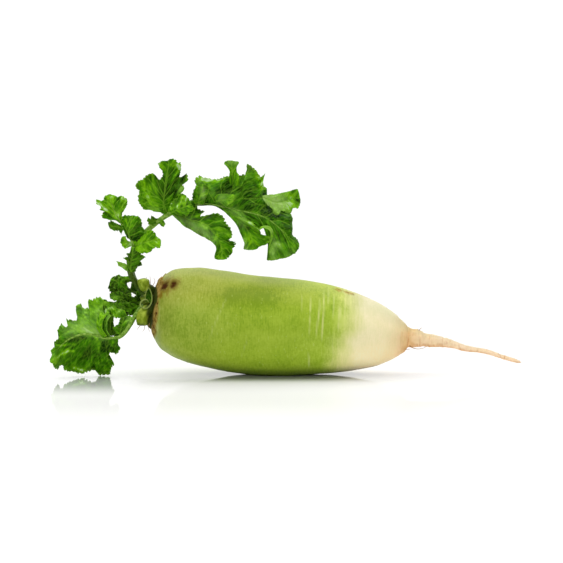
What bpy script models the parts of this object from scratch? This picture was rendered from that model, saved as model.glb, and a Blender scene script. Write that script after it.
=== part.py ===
"""Green radish with its crown of leaves, lying on its side on a small flat spot of its belly.

Metres, +Z up. The origin is on the flat spot, under the root's weight. +X runs from the leafy crown to
the tip of the tap root, and the leaves that come forward lie towards -Y. Points and sizes below are in
millimetres.
"""

import math
from dataclasses import dataclass

import bmesh
import bpy
import numpy as np

MM = 0.001

# Root: distance along the axis and radius there, from the middle of the crown to the tip of the tap root
ROOT_PROFILE = (
    (-78.6, 0.0), (-78.4, 8.0), (-77.4, 14.6), (-75.2, 20.0), (-70.6, 25.6), (-63.0, 30.0), (-50.0, 33.6),
    (-34.0, 34.7), (-12.0, 34.9), (8.0, 34.5), (27.0, 33.3), (46.0, 30.5), (64.0, 26.6), (79.0, 21.6),
    (90.0, 16.2), (97.0, 11.4), (103.0, 7.8), (112.0, 5.6), (127.0, 3.7), (144.0, 2.2), (162.0, 1.7),
    (178.0, 1.2), (182.0, 0.0),
)
# Root: the line that the axis follows, as x, y and z
ROOT_AXIS = (
    (-79.0, 0.0, 47.5), (-50.0, 0.0, 41.8), (-15.0, 0.0, 35.8), (6.0, 0.0, 33.7), (28.0, 0.0, 33.1),
    (55.0, 0.0, 31.5), (83.0, 0.3, 28.7), (106.0, 0.8, 25.4), (130.0, 1.6, 21.9), (143.0, 1.0, 18.3),
    (157.0, -0.6, 16.2), (169.0, -2.0, 12.4), (182.0, -2.6, 8.6),
)
ROOT_SIDES = 28
ROOT_RINGS_PER_STATION = 2
AXIS_STEPS = 400
GAP = 0.3

BLADE_THICKNESS = 0.8
# How far a half blade arches towards its face, as a share of its width
BLADE_ARCH = 0.06
# The width from which the waves of a half blade reach their full height
WIDE_BLADE = 9.0
# How far the waves of one half lie ahead of the midrib's rows, as a share of a wave
WAVE_LEAD = 0.2
# The lowest that a blade's middle surface comes, above the surface that the radish lies on
LOWEST_SHEET = 0.7
STALK_SIDES = 6
STUB_SIDES = 12
STUB_RINGS = 9
STUB_TIP_LENGTH = 0.9
STUB_TIP_SHARE = 0.72

# Smallest solid, in cubic millimetres, and shortest edge that a union keeps
SPECK = 1.0
SHORTEST_EDGE = 0.004
WELD_DISTANCE = 0.0001
SHARP_ANGLE = math.radians(40.0)

SKIN_GREEN = (0.26, 0.38, 0.04)
LEAF_GREEN = (0.05, 0.16, 0.01)
STUB_GREEN = (0.22, 0.3, 0.04)


@dataclass
class Stub:
    """The base of an old stalk: its line from inside the crown to the cut end, and its radii."""

    line: tuple
    radii: tuple


UPPER_STUB = Stub(
    line=((-74.0, -2.0, 57.0), (-79.0, -2.5, 60.0), (-82.5, -3.0, 63.5), (-84.5, -3.0, 67.0)),
    radii=(4.2, 4.2, 3.9, 3.0),
)
CURLED_STUB = Stub(
    line=((-70.0, -9.0, 53.0), (-76.5, -11.0, 54.0), (-79.0, -14.5, 54.0), (-81.0, -18.5, 52.5)),
    radii=(3.6, 3.4, 3.8, 4.2),
)
CURLED_STUB_HOLLOW = Stub(
    line=((-79.5, -15.5, 53.7), (-80.5, -17.5, 53.0), (-82.0, -20.5, 52.0)),
    radii=(1.6, 2.6, 3.2),
)
LOWER_STUB = Stub(
    line=((-72.0, -9.0, 43.5), (-78.0, -11.5, 43.0), (-82.5, -13.5, 41.0), (-84.5, -14.0, 37.0)),
    radii=(3.6, 3.9, 3.6, 2.8),
)


@dataclass
class Blade:
    """One lobe or leaflet: its midrib, and the margins that its two halves reach out to."""

    rib: tuple
    left: tuple
    right: tuple
    face: tuple
    rows: int
    columns: int
    waves: float
    ruffle: float = 1.3


@dataclass
class Leaf:
    """A stalk that tapers from the crown to its tip, and the blades that grow from it."""

    stalk: tuple
    radii: tuple
    blades: tuple
    rings: int = 22


ARCHING_LEAF = Leaf(
    stalk=(
        (-69, 10, 50.5), (-78.5, 10, 53), (-85.5, 9, 60), (-91, 6.5, 69), (-91, 4, 81.5), (-87, 2, 92.5),
        (-79, 1, 102), (-70.5, 0, 109), (-62, 0, 114), (-53, 0, 118), (-46.5, 0, 119.5), (-41, 0, 119.5),
        (-35, -1, 119.5), (-28.5, -3, 118), (-23, -5, 117), (-16.5, -6.5, 115.5), (-10.5, -8, 114.5),
        (-4, -9, 113), (3, -10, 110.5), (10, -10, 105.5), (16, -10, 99.5),
    ),
    radii=(2.7, 2.1, 1.9, 1.6, 1.2, 0.9),
    rings=38,
    blades=(
        # the upright fan over the stalk's bend
        Blade(
            rib=((-64, 0, 112.5), (-66.5, 0, 114), (-67.5, -0.5, 117), (-68.5, -1, 120.5),
                 (-68.5, -1, 124), (-68, -1, 128), (-67.5, 0, 133.5), (-66, 1, 141.5), (-64, 2, 148)),
            left=((-69, 0, 111.5), (-71, -2, 114.5), (-74.5, -4, 114.5), (-78, -5, 116),
                  (-81.5, -6, 116.5), (-84, -7, 119), (-85.5, -7, 121.5), (-86, -7, 125), (-85, -7, 129),
                  (-87.5, -7, 132), (-86, -6, 136), (-82, -4, 137), (-79, -3, 139.5), (-76, -2, 140.5),
                  (-74, -1, 138.5), (-73, 0, 136), (-70.5, 1, 138), (-69.5, 1, 141.5), (-71, 0, 144),
                  (-72, -1, 147.5), (-69.5, -1, 150), (-66.5, 1, 149.5)),
            right=((-61.5, 1, 113), (-58.5, 2, 117), (-57.5, 3, 121.5), (-56.5, 4, 126), (-54.5, 5, 129),
                   (-54.5, 6, 132), (-51.5, 8, 134.5), (-52.5, 8, 138), (-53.5, 8, 140.5),
                   (-56, 6, 137.5), (-58, 5, 138.5), (-56.5, 6, 141.5), (-56.5, 6, 143.5),
                   (-55.5, 8, 146), (-57, 8, 148.5), (-60, 6, 149), (-63, 4, 151)),
            face=(0.0, -1.0, 0.25),
            rows=28,
            columns=2,
            waves=9.0,
        ),
        # the lobe that droops in front of the bend
        Blade(
            rib=((-62, -1, 114), (-56.5, -3, 111.5), (-49.5, -7, 108.5), (-41.5, -10, 106),
                 (-35, -13, 102), (-30.5, -15, 96.5), (-27.5, -16, 90), (-27.5, -16, 84.5)),
            left=((-62, 0, 117), (-62, 1, 120.5), (-58.5, 2, 123.5), (-56, 3, 127.5), (-53, 2, 125),
                  (-50, 1, 122.5), (-46, 0, 121), (-45.5, -1, 116.5), (-40.5, -3, 115),
                  (-42.5, -5, 111.5), (-37.5, -5, 112.5), (-33, -6, 113.5), (-29, -8, 113),
                  (-26.5, -9, 111), (-26, -10, 109), (-24, -11, 106), (-21, -12, 103),
                  (-20.5, -13, 97.5), (-23.5, -14, 96), (-18, -14, 94), (-18, -14, 92), (-20.5, -15, 89),
                  (-21.5, -15, 85.5), (-25.5, -16, 83)),
            right=((-63.5, -1, 113), (-60, -4, 110), (-57, -7, 107.5), (-53.5, -10, 104.5),
                   (-49, -13, 102.5), (-44, -15, 99.5), (-39, -17, 97), (-36, -18, 95), (-33, -19, 93),
                   (-31.5, -19, 90), (-32.5, -18, 86), (-32.5, -17, 83), (-29.5, -16, 82)),
            face=(0.3, -0.8, 0.5),
            rows=28,
            columns=2,
            waves=10.0,
        ),
        # the big end blade
        Blade(
            rib=((-46.5, 0, 119.5), (-41, 0, 119.5), (-35, -1, 119.5), (-28.5, -3, 118), (-23, -5, 117),
                 (-16.5, -6.5, 115.5), (-10.5, -8, 114.5), (-4, -9, 113), (3, -10, 110.5),
                 (10, -10, 105.5), (16, -10, 99.5), (20, -10, 93)),
            left=((-48, -1, 120.5), (-48.5, -2, 124), (-47.5, -3, 129), (-45, -2, 134), (-47, -2, 137),
                  (-43.5, -1, 139.5), (-40.5, 2, 138), (-35, 4, 137.5), (-28.5, 4, 137.5),
                  (-24, 3, 139.5), (-23.5, 3, 143.5), (-26.5, 4, 149), (-22.5, 3, 150),
                  (-16.5, 4, 149.5), (-18, 4, 144.5), (-16, 4, 140.5), (-12, 5, 141), (-10, 6, 146.5),
                  (-6.5, 7, 145), (-3, 8, 142), (0, 9, 139), (2.5, 10, 140.5), (1.5, 10, 134),
                  (3.5, 10, 130), (0.5, 9, 125), (4, 8, 120.5), (12, 7, 118), (19, 5, 114),
                  (21.5, 3, 109.5), (21.5, 0, 103.5), (21.5, -3, 98.5), (25, -6, 94), (26, -8, 91)),
            right=((-46.5, 0, 118.5), (-41, -1, 118.5), (-35.5, -2, 119), (-30, -4, 117.5),
                   (-25, -6, 115), (-19.5, -8, 114), (-13, -10, 111.5), (-7, -12, 108), (-1.5, -12, 104),
                   (3.5, -12, 104.5), (6.5, -12, 101.5), (6.5, -13, 97), (5, -14, 92), (4.5, -15, 86.5),
                   (3.5, -16, 82), (8, -15, 81.5), (12.5, -15, 82.5), (17.5, -14, 83.5),
                   (21.5, -12, 85.5), (24.5, -10, 88)),
            face=(0.2, -0.9, 0.4),
            rows=40,
            columns=3,
            waves=12.0,
        ),
        # the near lobe of the end blade, which hides the end of a deep notch
        Blade(
            rib=((-28, -3, 118), (-23.5, -7, 115.5), (-19.5, -11, 112), (-13.5, -13, 107.5),
                 (-9, -16, 101.5), (-5.5, -18, 96), (-4, -18.5, 92.5)),
            left=((-28.5, -3, 117.5), (-24, -8.5, 113), (-19.5, -12, 108.5), (-16, -15, 103.5),
                  (-13.5, -18, 97.5), (-12, -20, 93.5), (-12.5, -20, 89.5), (-8, -19.5, 89)),
            right=((-27.5, -3.5, 118), (-22, -8.5, 115.5), (-15, -12, 112.5), (-8, -14, 109),
                   (-3.5, -16, 105), (-0.5, -17, 102.5), (0.5, -17, 99.5), (4, -16.5, 98.5),
                   (5.5, -17, 95), (4, -18, 92.5), (-1, -18.5, 92), (-3.5, -19, 89.5)),
            face=(0.1, -1.0, 0.3),
            rows=16,
            columns=2,
            waves=6.0,
        ),
        # the pale flap that turns its underside up at the far right
        Blade(
            rib=((-4, -9, 113.5), (0, -3.5, 118), (4, 2, 120.5), (10, 5, 121), (16, 5, 122),
                 (21.5, 4, 123), (25, 3, 123.5)),
            left=((-5, -8, 114.5), (-2.5, -2, 120.5), (0, 6, 124), (4, 8, 124.5), (9, 9, 125),
                  (14, 8, 126), (19, 6, 127.5), (24, 4, 130), (26, 3, 126.5)),
            right=((-2.5, -9.5, 113.5), (1, -6, 116), (4.5, -1, 117.5), (7.5, 0, 115.5),
                   (10.5, -2, 112.5), (13.5, -2, 114), (16, -1, 115), (20.5, -1, 114), (24, 0, 117.5),
                   (27, 2, 122.5)),
            face=(0.0, -0.8, 0.6),
            rows=14,
            columns=2,
            waves=5.0,
            ruffle=1.0,
        ),
        # the two small leaflets under the fan
        Blade(
            rib=((-72.5, 0, 107.5), (-75.5, -2, 108), (-77.5, -3, 109)),
            left=((-73.5, -1, 106), (-76, -3, 105.5), (-78.5, -4, 105.5), (-80, -4, 108),
                  (-79, -4, 110.5)),
            right=((-72.5, 0, 109.5), (-74.5, -1, 110), (-76, -2, 111), (-77.5, -3, 112)),
            face=(0.0, -1.0, 0.3),
            rows=8,
            columns=2,
            waves=2.0,
            ruffle=0.5,
        ),
        Blade(
            rib=((-72, -0.5, 108), (-69.5, -3, 106.5), (-68, -5, 105)),
            left=((-71, -0.5, 109.5), (-68.5, -2, 108), (-67, -4, 106)),
            right=((-72.5, -1, 107), (-70.5, -3, 105), (-68.5, -5, 104)),
            face=(0.0, -1.0, 0.3),
            rows=6,
            columns=2,
            waves=1.0,
            ruffle=0.4,
        ),
    ),
)

UPRIGHT_LEAF = Leaf(
    stalk=(
        (-69, 5, 49.5), (-78, 5, 52.5), (-84, 3.5, 59), (-89.5, -1.5, 66.5), (-92, -6.5, 73.5),
        (-91.5, -9, 78.5), (-90.5, -10.5, 83), (-89, -12.5, 88.5), (-90, -14, 95), (-93.5, -15, 100),
        (-97, -15.5, 107), (-98.5, -16.5, 110), (-100.5, -17, 113), (-102, -17, 116.5),
        (-103.5, -16.5, 120.5),
    ),
    radii=(2.3, 1.9, 1.5, 1.2, 0.9, 0.8),
    rings=24,
    blades=(
        # end lobe
        Blade(
            rib=((-97, -15.5, 107), (-98.5, -16.5, 110), (-100.5, -17, 113), (-102, -17, 116.5),
                 (-103.5, -16.5, 120.5), (-104.5, -15, 124)),
            left=((-98.5, -15.5, 107.5), (-101.5, -16.5, 109.5), (-105.5, -18, 110.5),
                  (-110, -20, 110.5), (-110, -20, 112.5), (-109, -19, 115), (-111, -20, 116.5),
                  (-112, -20, 119), (-111, -19, 120.5), (-114, -20, 121), (-113, -20, 124.5),
                  (-111, -18, 122), (-109, -17, 123), (-109, -16, 126), (-106.5, -15, 127)),
            right=((-95.5, -15, 107.5), (-96, -15, 111), (-96.5, -15, 114.5), (-95.5, -14, 117),
                   (-93.5, -12, 119), (-93, -11, 121), (-93, -10, 123.5), (-95.5, -11, 125.5),
                   (-98, -13, 125), (-101, -14, 126), (-104, -15, 127)),
            face=(-0.1, -1.0, 0.2),
            rows=20,
            columns=2,
            waves=8.0,
        ),
        # dark lobe to the left
        Blade(
            rib=((-95.5, -15, 103.5), (-99.5, -13.5, 104.5), (-104, -12, 105), (-106.5, -11, 106)),
            left=((-97.5, -15, 99.5), (-99, -14, 102), (-102.5, -12, 102), (-105.5, -11, 103.5)),
            right=((-97.5, -15, 106), (-100.5, -13, 107), (-104, -11, 108.5), (-106.5, -11, 107.5)),
            face=(0.0, -1.0, 0.2),
            rows=8,
            columns=1,
            waves=3.0,
            ruffle=0.7,
        ),
        # dark lobe to the right
        Blade(
            rib=((-92.5, -14.5, 98.5), (-91.5, -13.5, 102), (-89.5, -12, 105), (-87.5, -11, 108.5)),
            left=((-94.5, -15, 100.5), (-96, -14, 104.5), (-97.5, -13, 108.5), (-96.5, -12, 111.5),
                  (-93.5, -11, 112), (-90, -10, 112)),
            right=((-91, -14.5, 96), (-88, -13, 94.5), (-84.5, -11, 95.5), (-82, -10, 98),
                   (-81, -9, 102), (-82.5, -9, 106.5), (-85, -10, 106.5), (-84.5, -10, 109),
                   (-87.5, -10, 112)),
            face=(-0.1, -1.0, 0.3),
            rows=14,
            columns=2,
            waves=7.0,
        ),
        # bright lobe that crosses in front of the long stalk
        Blade(
            rib=((-89.5, -13, 91.5), (-85, -15, 92.5), (-80, -17, 94.5), (-75.5, -18, 95.5),
                 (-72, -18, 95)),
            left=((-89, -13, 94.5), (-85, -15, 96.5), (-82, -15, 99.5), (-79.5, -15, 102),
                  (-76.5, -16, 102.5), (-74, -17, 101), (-72.5, -18, 98.5), (-70, -18, 96.5)),
            right=((-88.5, -13, 89.5), (-86.5, -15, 88.5), (-83.5, -17, 87), (-80.5, -19, 87),
                   (-77, -20, 87.5), (-76, -20, 89), (-73.5, -20, 90.5), (-70, -20, 91),
                   (-69.5, -19, 94.5)),
            face=(0.1, -1.0, 0.3),
            rows=14,
            columns=2,
            waves=7.0,
        ),
        # small pale leaflet below
        Blade(
            rib=((-89, -13.5, 93), (-92, -16, 94), (-94, -18, 95), (-96, -18, 97.5)),
            left=((-88.5, -13.5, 91.5), (-92, -15, 91), (-94, -17, 90), (-96, -18, 91.5),
                  (-97.5, -19, 94.5), (-97, -19, 97.5)),
            right=((-89.5, -14, 94.5), (-92, -16, 95), (-93.5, -17, 96.5), (-94, -17, 98.5)),
            face=(0.0, -1.0, 0.2),
            rows=10,
            columns=2,
            waves=4.0,
            ruffle=0.7,
        ),
        # toothed wings low on the stalk
        Blade(
            rib=((-92, -7.5, 73.5), (-91.5, -9, 78.5), (-90.5, -10.5, 83), (-89, -12.5, 88.5)),
            left=((-92.5, -9, 72.5), (-93.5, -10, 77), (-94, -12, 81), (-96.5, -13, 83.5),
                  (-93, -12, 84), (-94, -13, 86.5), (-90.5, -13, 86.5), (-91, -14, 89.5)),
            right=((-89, -7.5, 73.5), (-87, -9, 76.5), (-83.5, -11, 78), (-84.5, -11, 81),
                   (-81, -13, 83.5), (-84, -13, 85), (-85, -13, 87), (-87, -13, 89)),
            face=(0.0, -1.0, 0.2),
            rows=18,
            columns=1,
            waves=5.0,
            ruffle=0.7,
        ),
        # pale strip beside them
        Blade(
            rib=((-92, -8.5, 74.5), (-96, -11, 77.5), (-100, -13, 79.5)),
            left=((-94.5, -9, 73.5), (-97, -11, 76), (-99.5, -13, 77.5)),
            right=((-92.5, -9, 78), (-96.5, -11, 79.5), (-101, -13, 81)),
            face=(0.0, -1.0, 0.2),
            rows=6,
            columns=1,
            waves=2.0,
            ruffle=0.5,
        ),
    ),
)

INNER_LEAF = Leaf(
    stalk=(
        (-69.5, 15, 48.5), (-78.5, 15, 51), (-85, 15.5, 53.5), (-91.5, 15, 57), (-96, 14, 59.5),
        (-101, 13.5, 61.5),
    ),
    radii=(2.2, 1.6, 1.0, 0.6),
    rings=12,
    blades=(
        # the upper crumpled half
        Blade(
            rib=((-85, 15.5, 53.5), (-91.5, 15, 57), (-96, 14, 59.5), (-101, 13.5, 61.5),
                 (-104.5, 13, 62.5)),
            left=((-85.5, 14.5, 52), (-91, 11.5, 51.5), (-96, 9, 52.5), (-101, 8.5, 51), (-106, 9, 52),
                  (-107.5, 10, 54), (-106.5, 11, 56), (-108.5, 11.5, 59.5), (-107.5, 12, 63)),
            right=((-85, 16, 55.5), (-88.5, 15.5, 63), (-91.5, 15, 66.5), (-94.5, 16, 67.5),
                   (-97.5, 16, 66.5), (-101, 16, 68.5), (-104.5, 15, 67.5), (-107, 13.5, 65.5)),
            face=(-0.2, -1.0, 0.2),
            rows=18,
            columns=2,
            waves=9.0,
            ruffle=1.8,
        ),
        # the lower crumpled half
        Blade(
            rib=((-81.5, 15, 52), (-87, 10.5, 50), (-93, 6, 48.5), (-99, 3, 48), (-105, 1, 47.5)),
            left=((-80.5, 11, 50), (-85, 7, 45.5), (-88, 4, 41.5), (-92.5, 1, 41.5), (-97.5, -1, 41),
                  (-102, -2, 42), (-107, -2, 44)),
            right=((-83.5, 12, 53), (-88.5, 11, 53.5), (-93, 9, 53), (-98.5, 7, 51.5), (-102, 5, 50.5),
                   (-105.5, 3, 50.5), (-108.5, 1, 48)),
            face=(-0.2, -1.0, 0.4),
            rows=16,
            columns=2,
            waves=8.0,
            ruffle=1.8,
        ),
    ),
)

DROOPING_LEAF = Leaf(
    stalk=(
        (-68.5, -5, 47.5), (-77.5, -6.5, 49), (-83.5, -9.5, 47.5), (-88.5, -13, 42), (-92.5, -15.5, 35),
        (-96.5, -17, 30), (-100, -17.5, 28), (-105.5, -18, 27.5), (-110, -18.5, 28), (-115.5, -18.5, 30),
        (-122, -18, 30.5), (-129, -17, 29), (-135.5, -16.5, 25.5), (-140.5, -15.5, 21),
    ),
    radii=(2.7, 2.0, 1.8, 1.5, 1.1, 0.9),
    rings=26,
    blades=(
        # the broad blade, whose lower lobe reaches the surface
        Blade(
            rib=((-100, -17.5, 28), (-105.5, -18, 27.5), (-110, -18.5, 28), (-115.5, -18.5, 30),
                 (-122, -18, 30.5), (-129, -17, 29), (-135.5, -16.5, 25.5), (-140.5, -15.5, 21),
                 (-144, -14.5, 17)),
            left=((-99.5, -18, 26), (-99.5, -20, 23), (-98, -21, 21), (-100.5, -22, 17),
                  (-103.5, -22, 18), (-107.5, -21, 15), (-106, -20, 12.5), (-102.5, -19, 9.5),
                  (-104.5, -18, 7), (-106, -17, 2.5), (-110, -16, 1), (-113.5, -17, 3), (-116, -18, 5),
                  (-120.5, -20, 5), (-126, -21, 4.5), (-131, -22, 5.5), (-136.5, -22, 6), (-138, -21, 8),
                  (-140, -21, 9.5), (-142, -21, 6), (-144.5, -20, 9.5), (-146.5, -18, 12.5),
                  (-145.5, -16, 15.5)),
            right=((-102.5, -17, 28.5), (-108, -16, 30), (-111.5, -14, 34.5), (-111, -11, 39.5),
                   (-109, -7, 44.5), (-106, -3, 50), (-110, -2, 52), (-113.5, -1, 54.5), (-116, -1, 54),
                   (-119, -1, 52.5), (-121.5, -2, 52), (-121.5, -3, 47.5), (-125, -3, 47),
                   (-127.5, -2, 50), (-130, -3, 46.5), (-129, -5, 41.5), (-130.5, -6, 38.5),
                   (-136, -6, 39.5), (-134.5, -7, 36.5), (-137, -8, 34.5), (-140, -8, 36.5),
                   (-142, -9, 32.5), (-141.5, -11, 27.5), (-144.5, -12, 24), (-144.5, -13, 21),
                   (-147, -14, 18.5)),
            face=(0.1, -1.0, 0.5),
            rows=44,
            columns=3,
            waves=13.0,
        ),
        # the rolled leaflet inside the stalk's bend
        Blade(
            rib=((-95.5, -16.5, 31), (-99, -14, 33.5), (-102.5, -11.5, 35.5), (-106, -10.5, 36.5)),
            left=((-97.5, -16.5, 29), (-103, -15, 30), (-107.5, -15.5, 31), (-110, -15.5, 35),
                  (-109.5, -15, 40.5)),
            right=((-93.5, -15.5, 33.5), (-93.5, -14, 39), (-97.5, -13, 42), (-102, -13, 43.5),
                   (-106, -13.5, 43.5)),
            face=(-0.3, -0.7, 0.6),
            rows=12,
            columns=2,
            waves=3.0,
            ruffle=0.5,
        ),
    ),
)


def smooth_curve(points, count):
    """Count points evenly spread in parameter along the cubic that passes through the given points."""
    points = np.asarray(points, float)
    tangents = np.gradient(points, axis=0)
    places = np.linspace(0.0, len(points) - 1, count)
    index = np.minimum(places.astype(int), len(points) - 2)
    share = (places - index).reshape((-1,) + (1,) * (points.ndim - 1))
    start = (2 * share**3 - 3 * share**2 + 1) * points[index]
    start = start + (share**3 - 2 * share**2 + share) * tangents[index]
    end = (3 * share**2 - 2 * share**3) * points[index + 1] + (share**3 - share**2) * tangents[index + 1]
    return start + end


def unit(vectors):
    return vectors / np.maximum(np.linalg.norm(vectors, axis=-1, keepdims=True), 1e-9)


def mesh_object(name, vertices, faces, material=None):
    mesh = bpy.data.meshes.new(name)
    mesh.from_pydata([tuple(v) for v in np.asarray(vertices) * MM], [], faces)
    mesh.validate()
    obj = bpy.data.objects.new(name, mesh)
    bpy.context.scene.collection.objects.link(obj)
    if material:
        mesh.materials.append(material)
    return obj


def ring_faces(rings, sides):
    """The four-cornered faces between each ring of points and the next."""
    faces = []
    for ring in range(rings - 1):
        for side in range(sides):
            first, second = ring * sides + side, ring * sides + (side + 1) % sides
            faces.append((first, second, second + sides, first + sides))
    return faces


def tube(name, centres, radii, sides, material=None):
    """A closed tube of round rings square to its centreline, with a flat cap on each end."""
    centres, radii = np.asarray(centres, float), np.asarray(radii, float)
    along = unit(np.gradient(centres, axis=0))
    across = unit(np.cross(along, (0.0, 1.0, 0.03)))
    up = np.cross(across, along)
    turn = np.linspace(0.0, 2 * math.pi, sides, endpoint=False)
    ring = np.cos(turn)[None, :, None] * across[:, None] + np.sin(turn)[None, :, None] * up[:, None]
    vertices = (centres[:, None] + radii[:, None, None] * ring).reshape(-1, 3)
    faces = ring_faces(len(centres), sides)
    faces.append(tuple(reversed(range(sides))))
    faces.append(tuple((len(centres) - 1) * sides + side for side in range(sides)))
    obj = mesh_object(name, vertices, faces, material)
    point_outwards(obj)
    return obj


def point_outwards(obj):
    mesh = bmesh.new()
    mesh.from_mesh(obj.data)
    bmesh.ops.remove_doubles(mesh, verts=mesh.verts, dist=WELD_DISTANCE * MM)
    bmesh.ops.recalc_face_normals(mesh, faces=mesh.faces)
    mesh.to_mesh(obj.data)
    mesh.free()


def root_shape(name, outset=0.0, material=None):
    """The root as a turned profile along its bent axis, set out by a distance square to the profile."""
    stations = np.asarray(ROOT_PROFILE)
    profile = smooth_curve(stations, (len(stations) - 1) * ROOT_RINGS_PER_STATION + 1)
    slope = unit(np.gradient(profile, axis=0))
    profile = profile + outset * np.stack([-slope[:, 1], slope[:, 0]], axis=1)
    axis = smooth_curve(ROOT_AXIS, AXIS_STEPS)
    centres = np.stack([np.interp(profile[:, 0], axis[:, 0], axis[:, k]) for k in range(3)], axis=1)
    centres[:, 0] = profile[:, 0]
    before = axis[0] + (profile[:, :1] - axis[0, 0]) * unit(axis[1] - axis[0])
    centres = np.where(profile[:, :1] < axis[0, 0], before, centres)
    slopes = [np.interp(centres[:, 0], axis[:, 0], np.gradient(axis[:, k])) for k in range(3)]
    along = unit(np.stack(slopes, axis=1))
    across = unit(np.cross(along, (0.0, 1.0, 0.0)))
    side = np.cross(across, along)
    turn = np.linspace(0.0, 2 * math.pi, ROOT_SIDES, endpoint=False) + math.pi / ROOT_SIDES
    ring = np.cos(turn)[None, :, None] * across[:, None] + np.sin(turn)[None, :, None] * side[:, None]
    radii = profile[:, 1].copy()
    radii[[0, -1]] = 0.0
    vertices = (centres[:, None] + radii[:, None, None] * ring).reshape(-1, 3)
    obj = mesh_object(name, vertices, ring_faces(len(centres), ROOT_SIDES), material)
    point_outwards(obj)
    return obj


def flatten_belly(obj):
    """Cuts the root off level with the surface it lies on, which leaves its small flat spot."""
    mesh = bmesh.new()
    mesh.from_mesh(obj.data)
    cut = bmesh.ops.bisect_plane(
        mesh,
        geom=mesh.verts[:] + mesh.edges[:] + mesh.faces[:],
        plane_co=(0.0, 0.0, 0.0),
        plane_no=(0.0, 0.0, 1.0),
        clear_inner=True,
    )
    edges = [part for part in cut["geom_cut"] if isinstance(part, bmesh.types.BMEdge)]
    bmesh.ops.contextual_create(mesh, geom=edges)
    bmesh.ops.recalc_face_normals(mesh, faces=mesh.faces)
    mesh.to_mesh(obj.data)
    mesh.free()


def blade_sheet(blade):
    """Points of a blade, as rows from base to tip and columns from the left margin to the right one.

    Each row runs straight from the midrib to the margin, then is arched towards the face and waved, more so
    towards the margin. No point lies lower than the surface that the radish rests on.
    """
    rib = smooth_curve(blade.rib, blade.rows + 1)
    along = unit(np.gradient(rib, axis=0))
    face = unit(np.asarray(blade.face, float))
    normal = unit(face - (along @ face)[:, None] * along)[:, None]
    share = np.linspace(0.0, 1.0, blade.rows + 1)[:, None, None]
    out = np.linspace(0.0, 1.0, blade.columns + 1)[None, :, None]
    halves = []
    for side, margin in ((-1, blade.left), (1, blade.right)):
        reach = (smooth_curve(margin, blade.rows + 1) - rib)[:, None]
        width = np.linalg.norm(reach, axis=-1, keepdims=True)
        arch = BLADE_ARCH * width * 4.0 * out * (1.0 - out)
        wave = np.sin(2.0 * math.pi * (blade.waves * share + WAVE_LEAD * side)) * out**1.5
        wave = blade.ruffle * np.minimum(1.0, width / WIDE_BLADE) * wave
        halves.append(rib[:, None] + out * reach + (arch + wave) * normal)
    points = np.concatenate([halves[0][:, :0:-1], halves[1]], axis=1)
    points[..., 2] = np.maximum(points[..., 2], LOWEST_SHEET)
    return points


def blade_object(name, blade):
    """The blade's sheet in triangles, with its thickness added evenly to both sides."""
    points = blade_sheet(blade)
    rows, columns = points.shape[:2]
    faces = []
    for row in range(rows - 1):
        for column in range(columns - 1):
            corner = row * columns + column
            right, below = corner + 1, corner + columns
            faces.append((corner, right, below))
            faces.append((right, below + 1, below))
    obj = mesh_object(name, points.reshape(-1, 3), faces)
    solidify = obj.modifiers.new("thickness", "SOLIDIFY")
    solidify.thickness = BLADE_THICKNESS * MM
    solidify.offset = 0.0
    return obj


def leaf_object(name, leaf, cutter):
    """The stalk joined with its blades, and cut back from the crown by a small gap."""
    centres = smooth_curve(leaf.stalk, leaf.rings)
    radii = smooth_curve(leaf.radii, leaf.rings)
    stalk = tube(name, centres, radii, STALK_SIDES, plain_material(name, LEAF_GREEN, 0.45))
    blades = bpy.data.collections.new(name + "_blades")
    bpy.context.scene.collection.children.link(blades)
    for number, blade in enumerate(leaf.blades):
        obj = blade_object(f"{name}_blade_{number}", blade)
        bpy.context.scene.collection.objects.unlink(obj)
        blades.objects.link(obj)
    union = stalk.modifiers.new("blades", "BOOLEAN")
    union.operation = "UNION"
    union.operand_type = "COLLECTION"
    union.collection = blades
    union.solver = "MANIFOLD"
    cut = stalk.modifiers.new("crown_gap", "BOOLEAN")
    cut.operation = "DIFFERENCE"
    cut.object = cutter
    cut.solver = "MANIFOLD"
    apply_modifiers(stalk)
    for obj in list(blades.objects):
        bpy.data.objects.remove(obj)
    bpy.data.collections.remove(blades)
    fill_cavities(stalk)
    shade_round(stalk)
    return stalk


def apply_modifiers(obj):
    graph = bpy.context.evaluated_depsgraph_get()
    mesh = bpy.data.meshes.new_from_object(obj.evaluated_get(graph))
    obj.modifiers.clear()
    obj.data = mesh


def stub_object(name, stub, cutters):
    """A short bent tube with a softened end, less each of its cutters."""
    centres = smooth_curve(stub.line, STUB_RINGS)
    radii = smooth_curve(stub.radii, STUB_RINGS)
    tip = centres[-1] + STUB_TIP_LENGTH * unit(centres[-1] - centres[-2])
    centres = np.concatenate([centres, tip[None]])
    radii = np.append(radii, STUB_TIP_SHARE * radii[-1])
    obj = tube(name, centres, radii, STUB_SIDES, plain_material(name, STUB_GREEN, 0.5))
    for cutter in cutters:
        cut = obj.modifiers.new(cutter.name, "BOOLEAN")
        cut.operation = "DIFFERENCE"
        cut.object = cutter
    apply_modifiers(obj)
    shade_round(obj)
    return obj


def shade_round(obj):
    """Shades the object smooth, but for edges that turn by more than the sharp angle."""
    obj.data.shade_smooth()
    obj.data.set_sharp_from_angle(angle=SHARP_ANGLE)


def hide_cutter(obj):
    obj.hide_render = True
    obj.display_type = "WIRE"
    return obj


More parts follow.
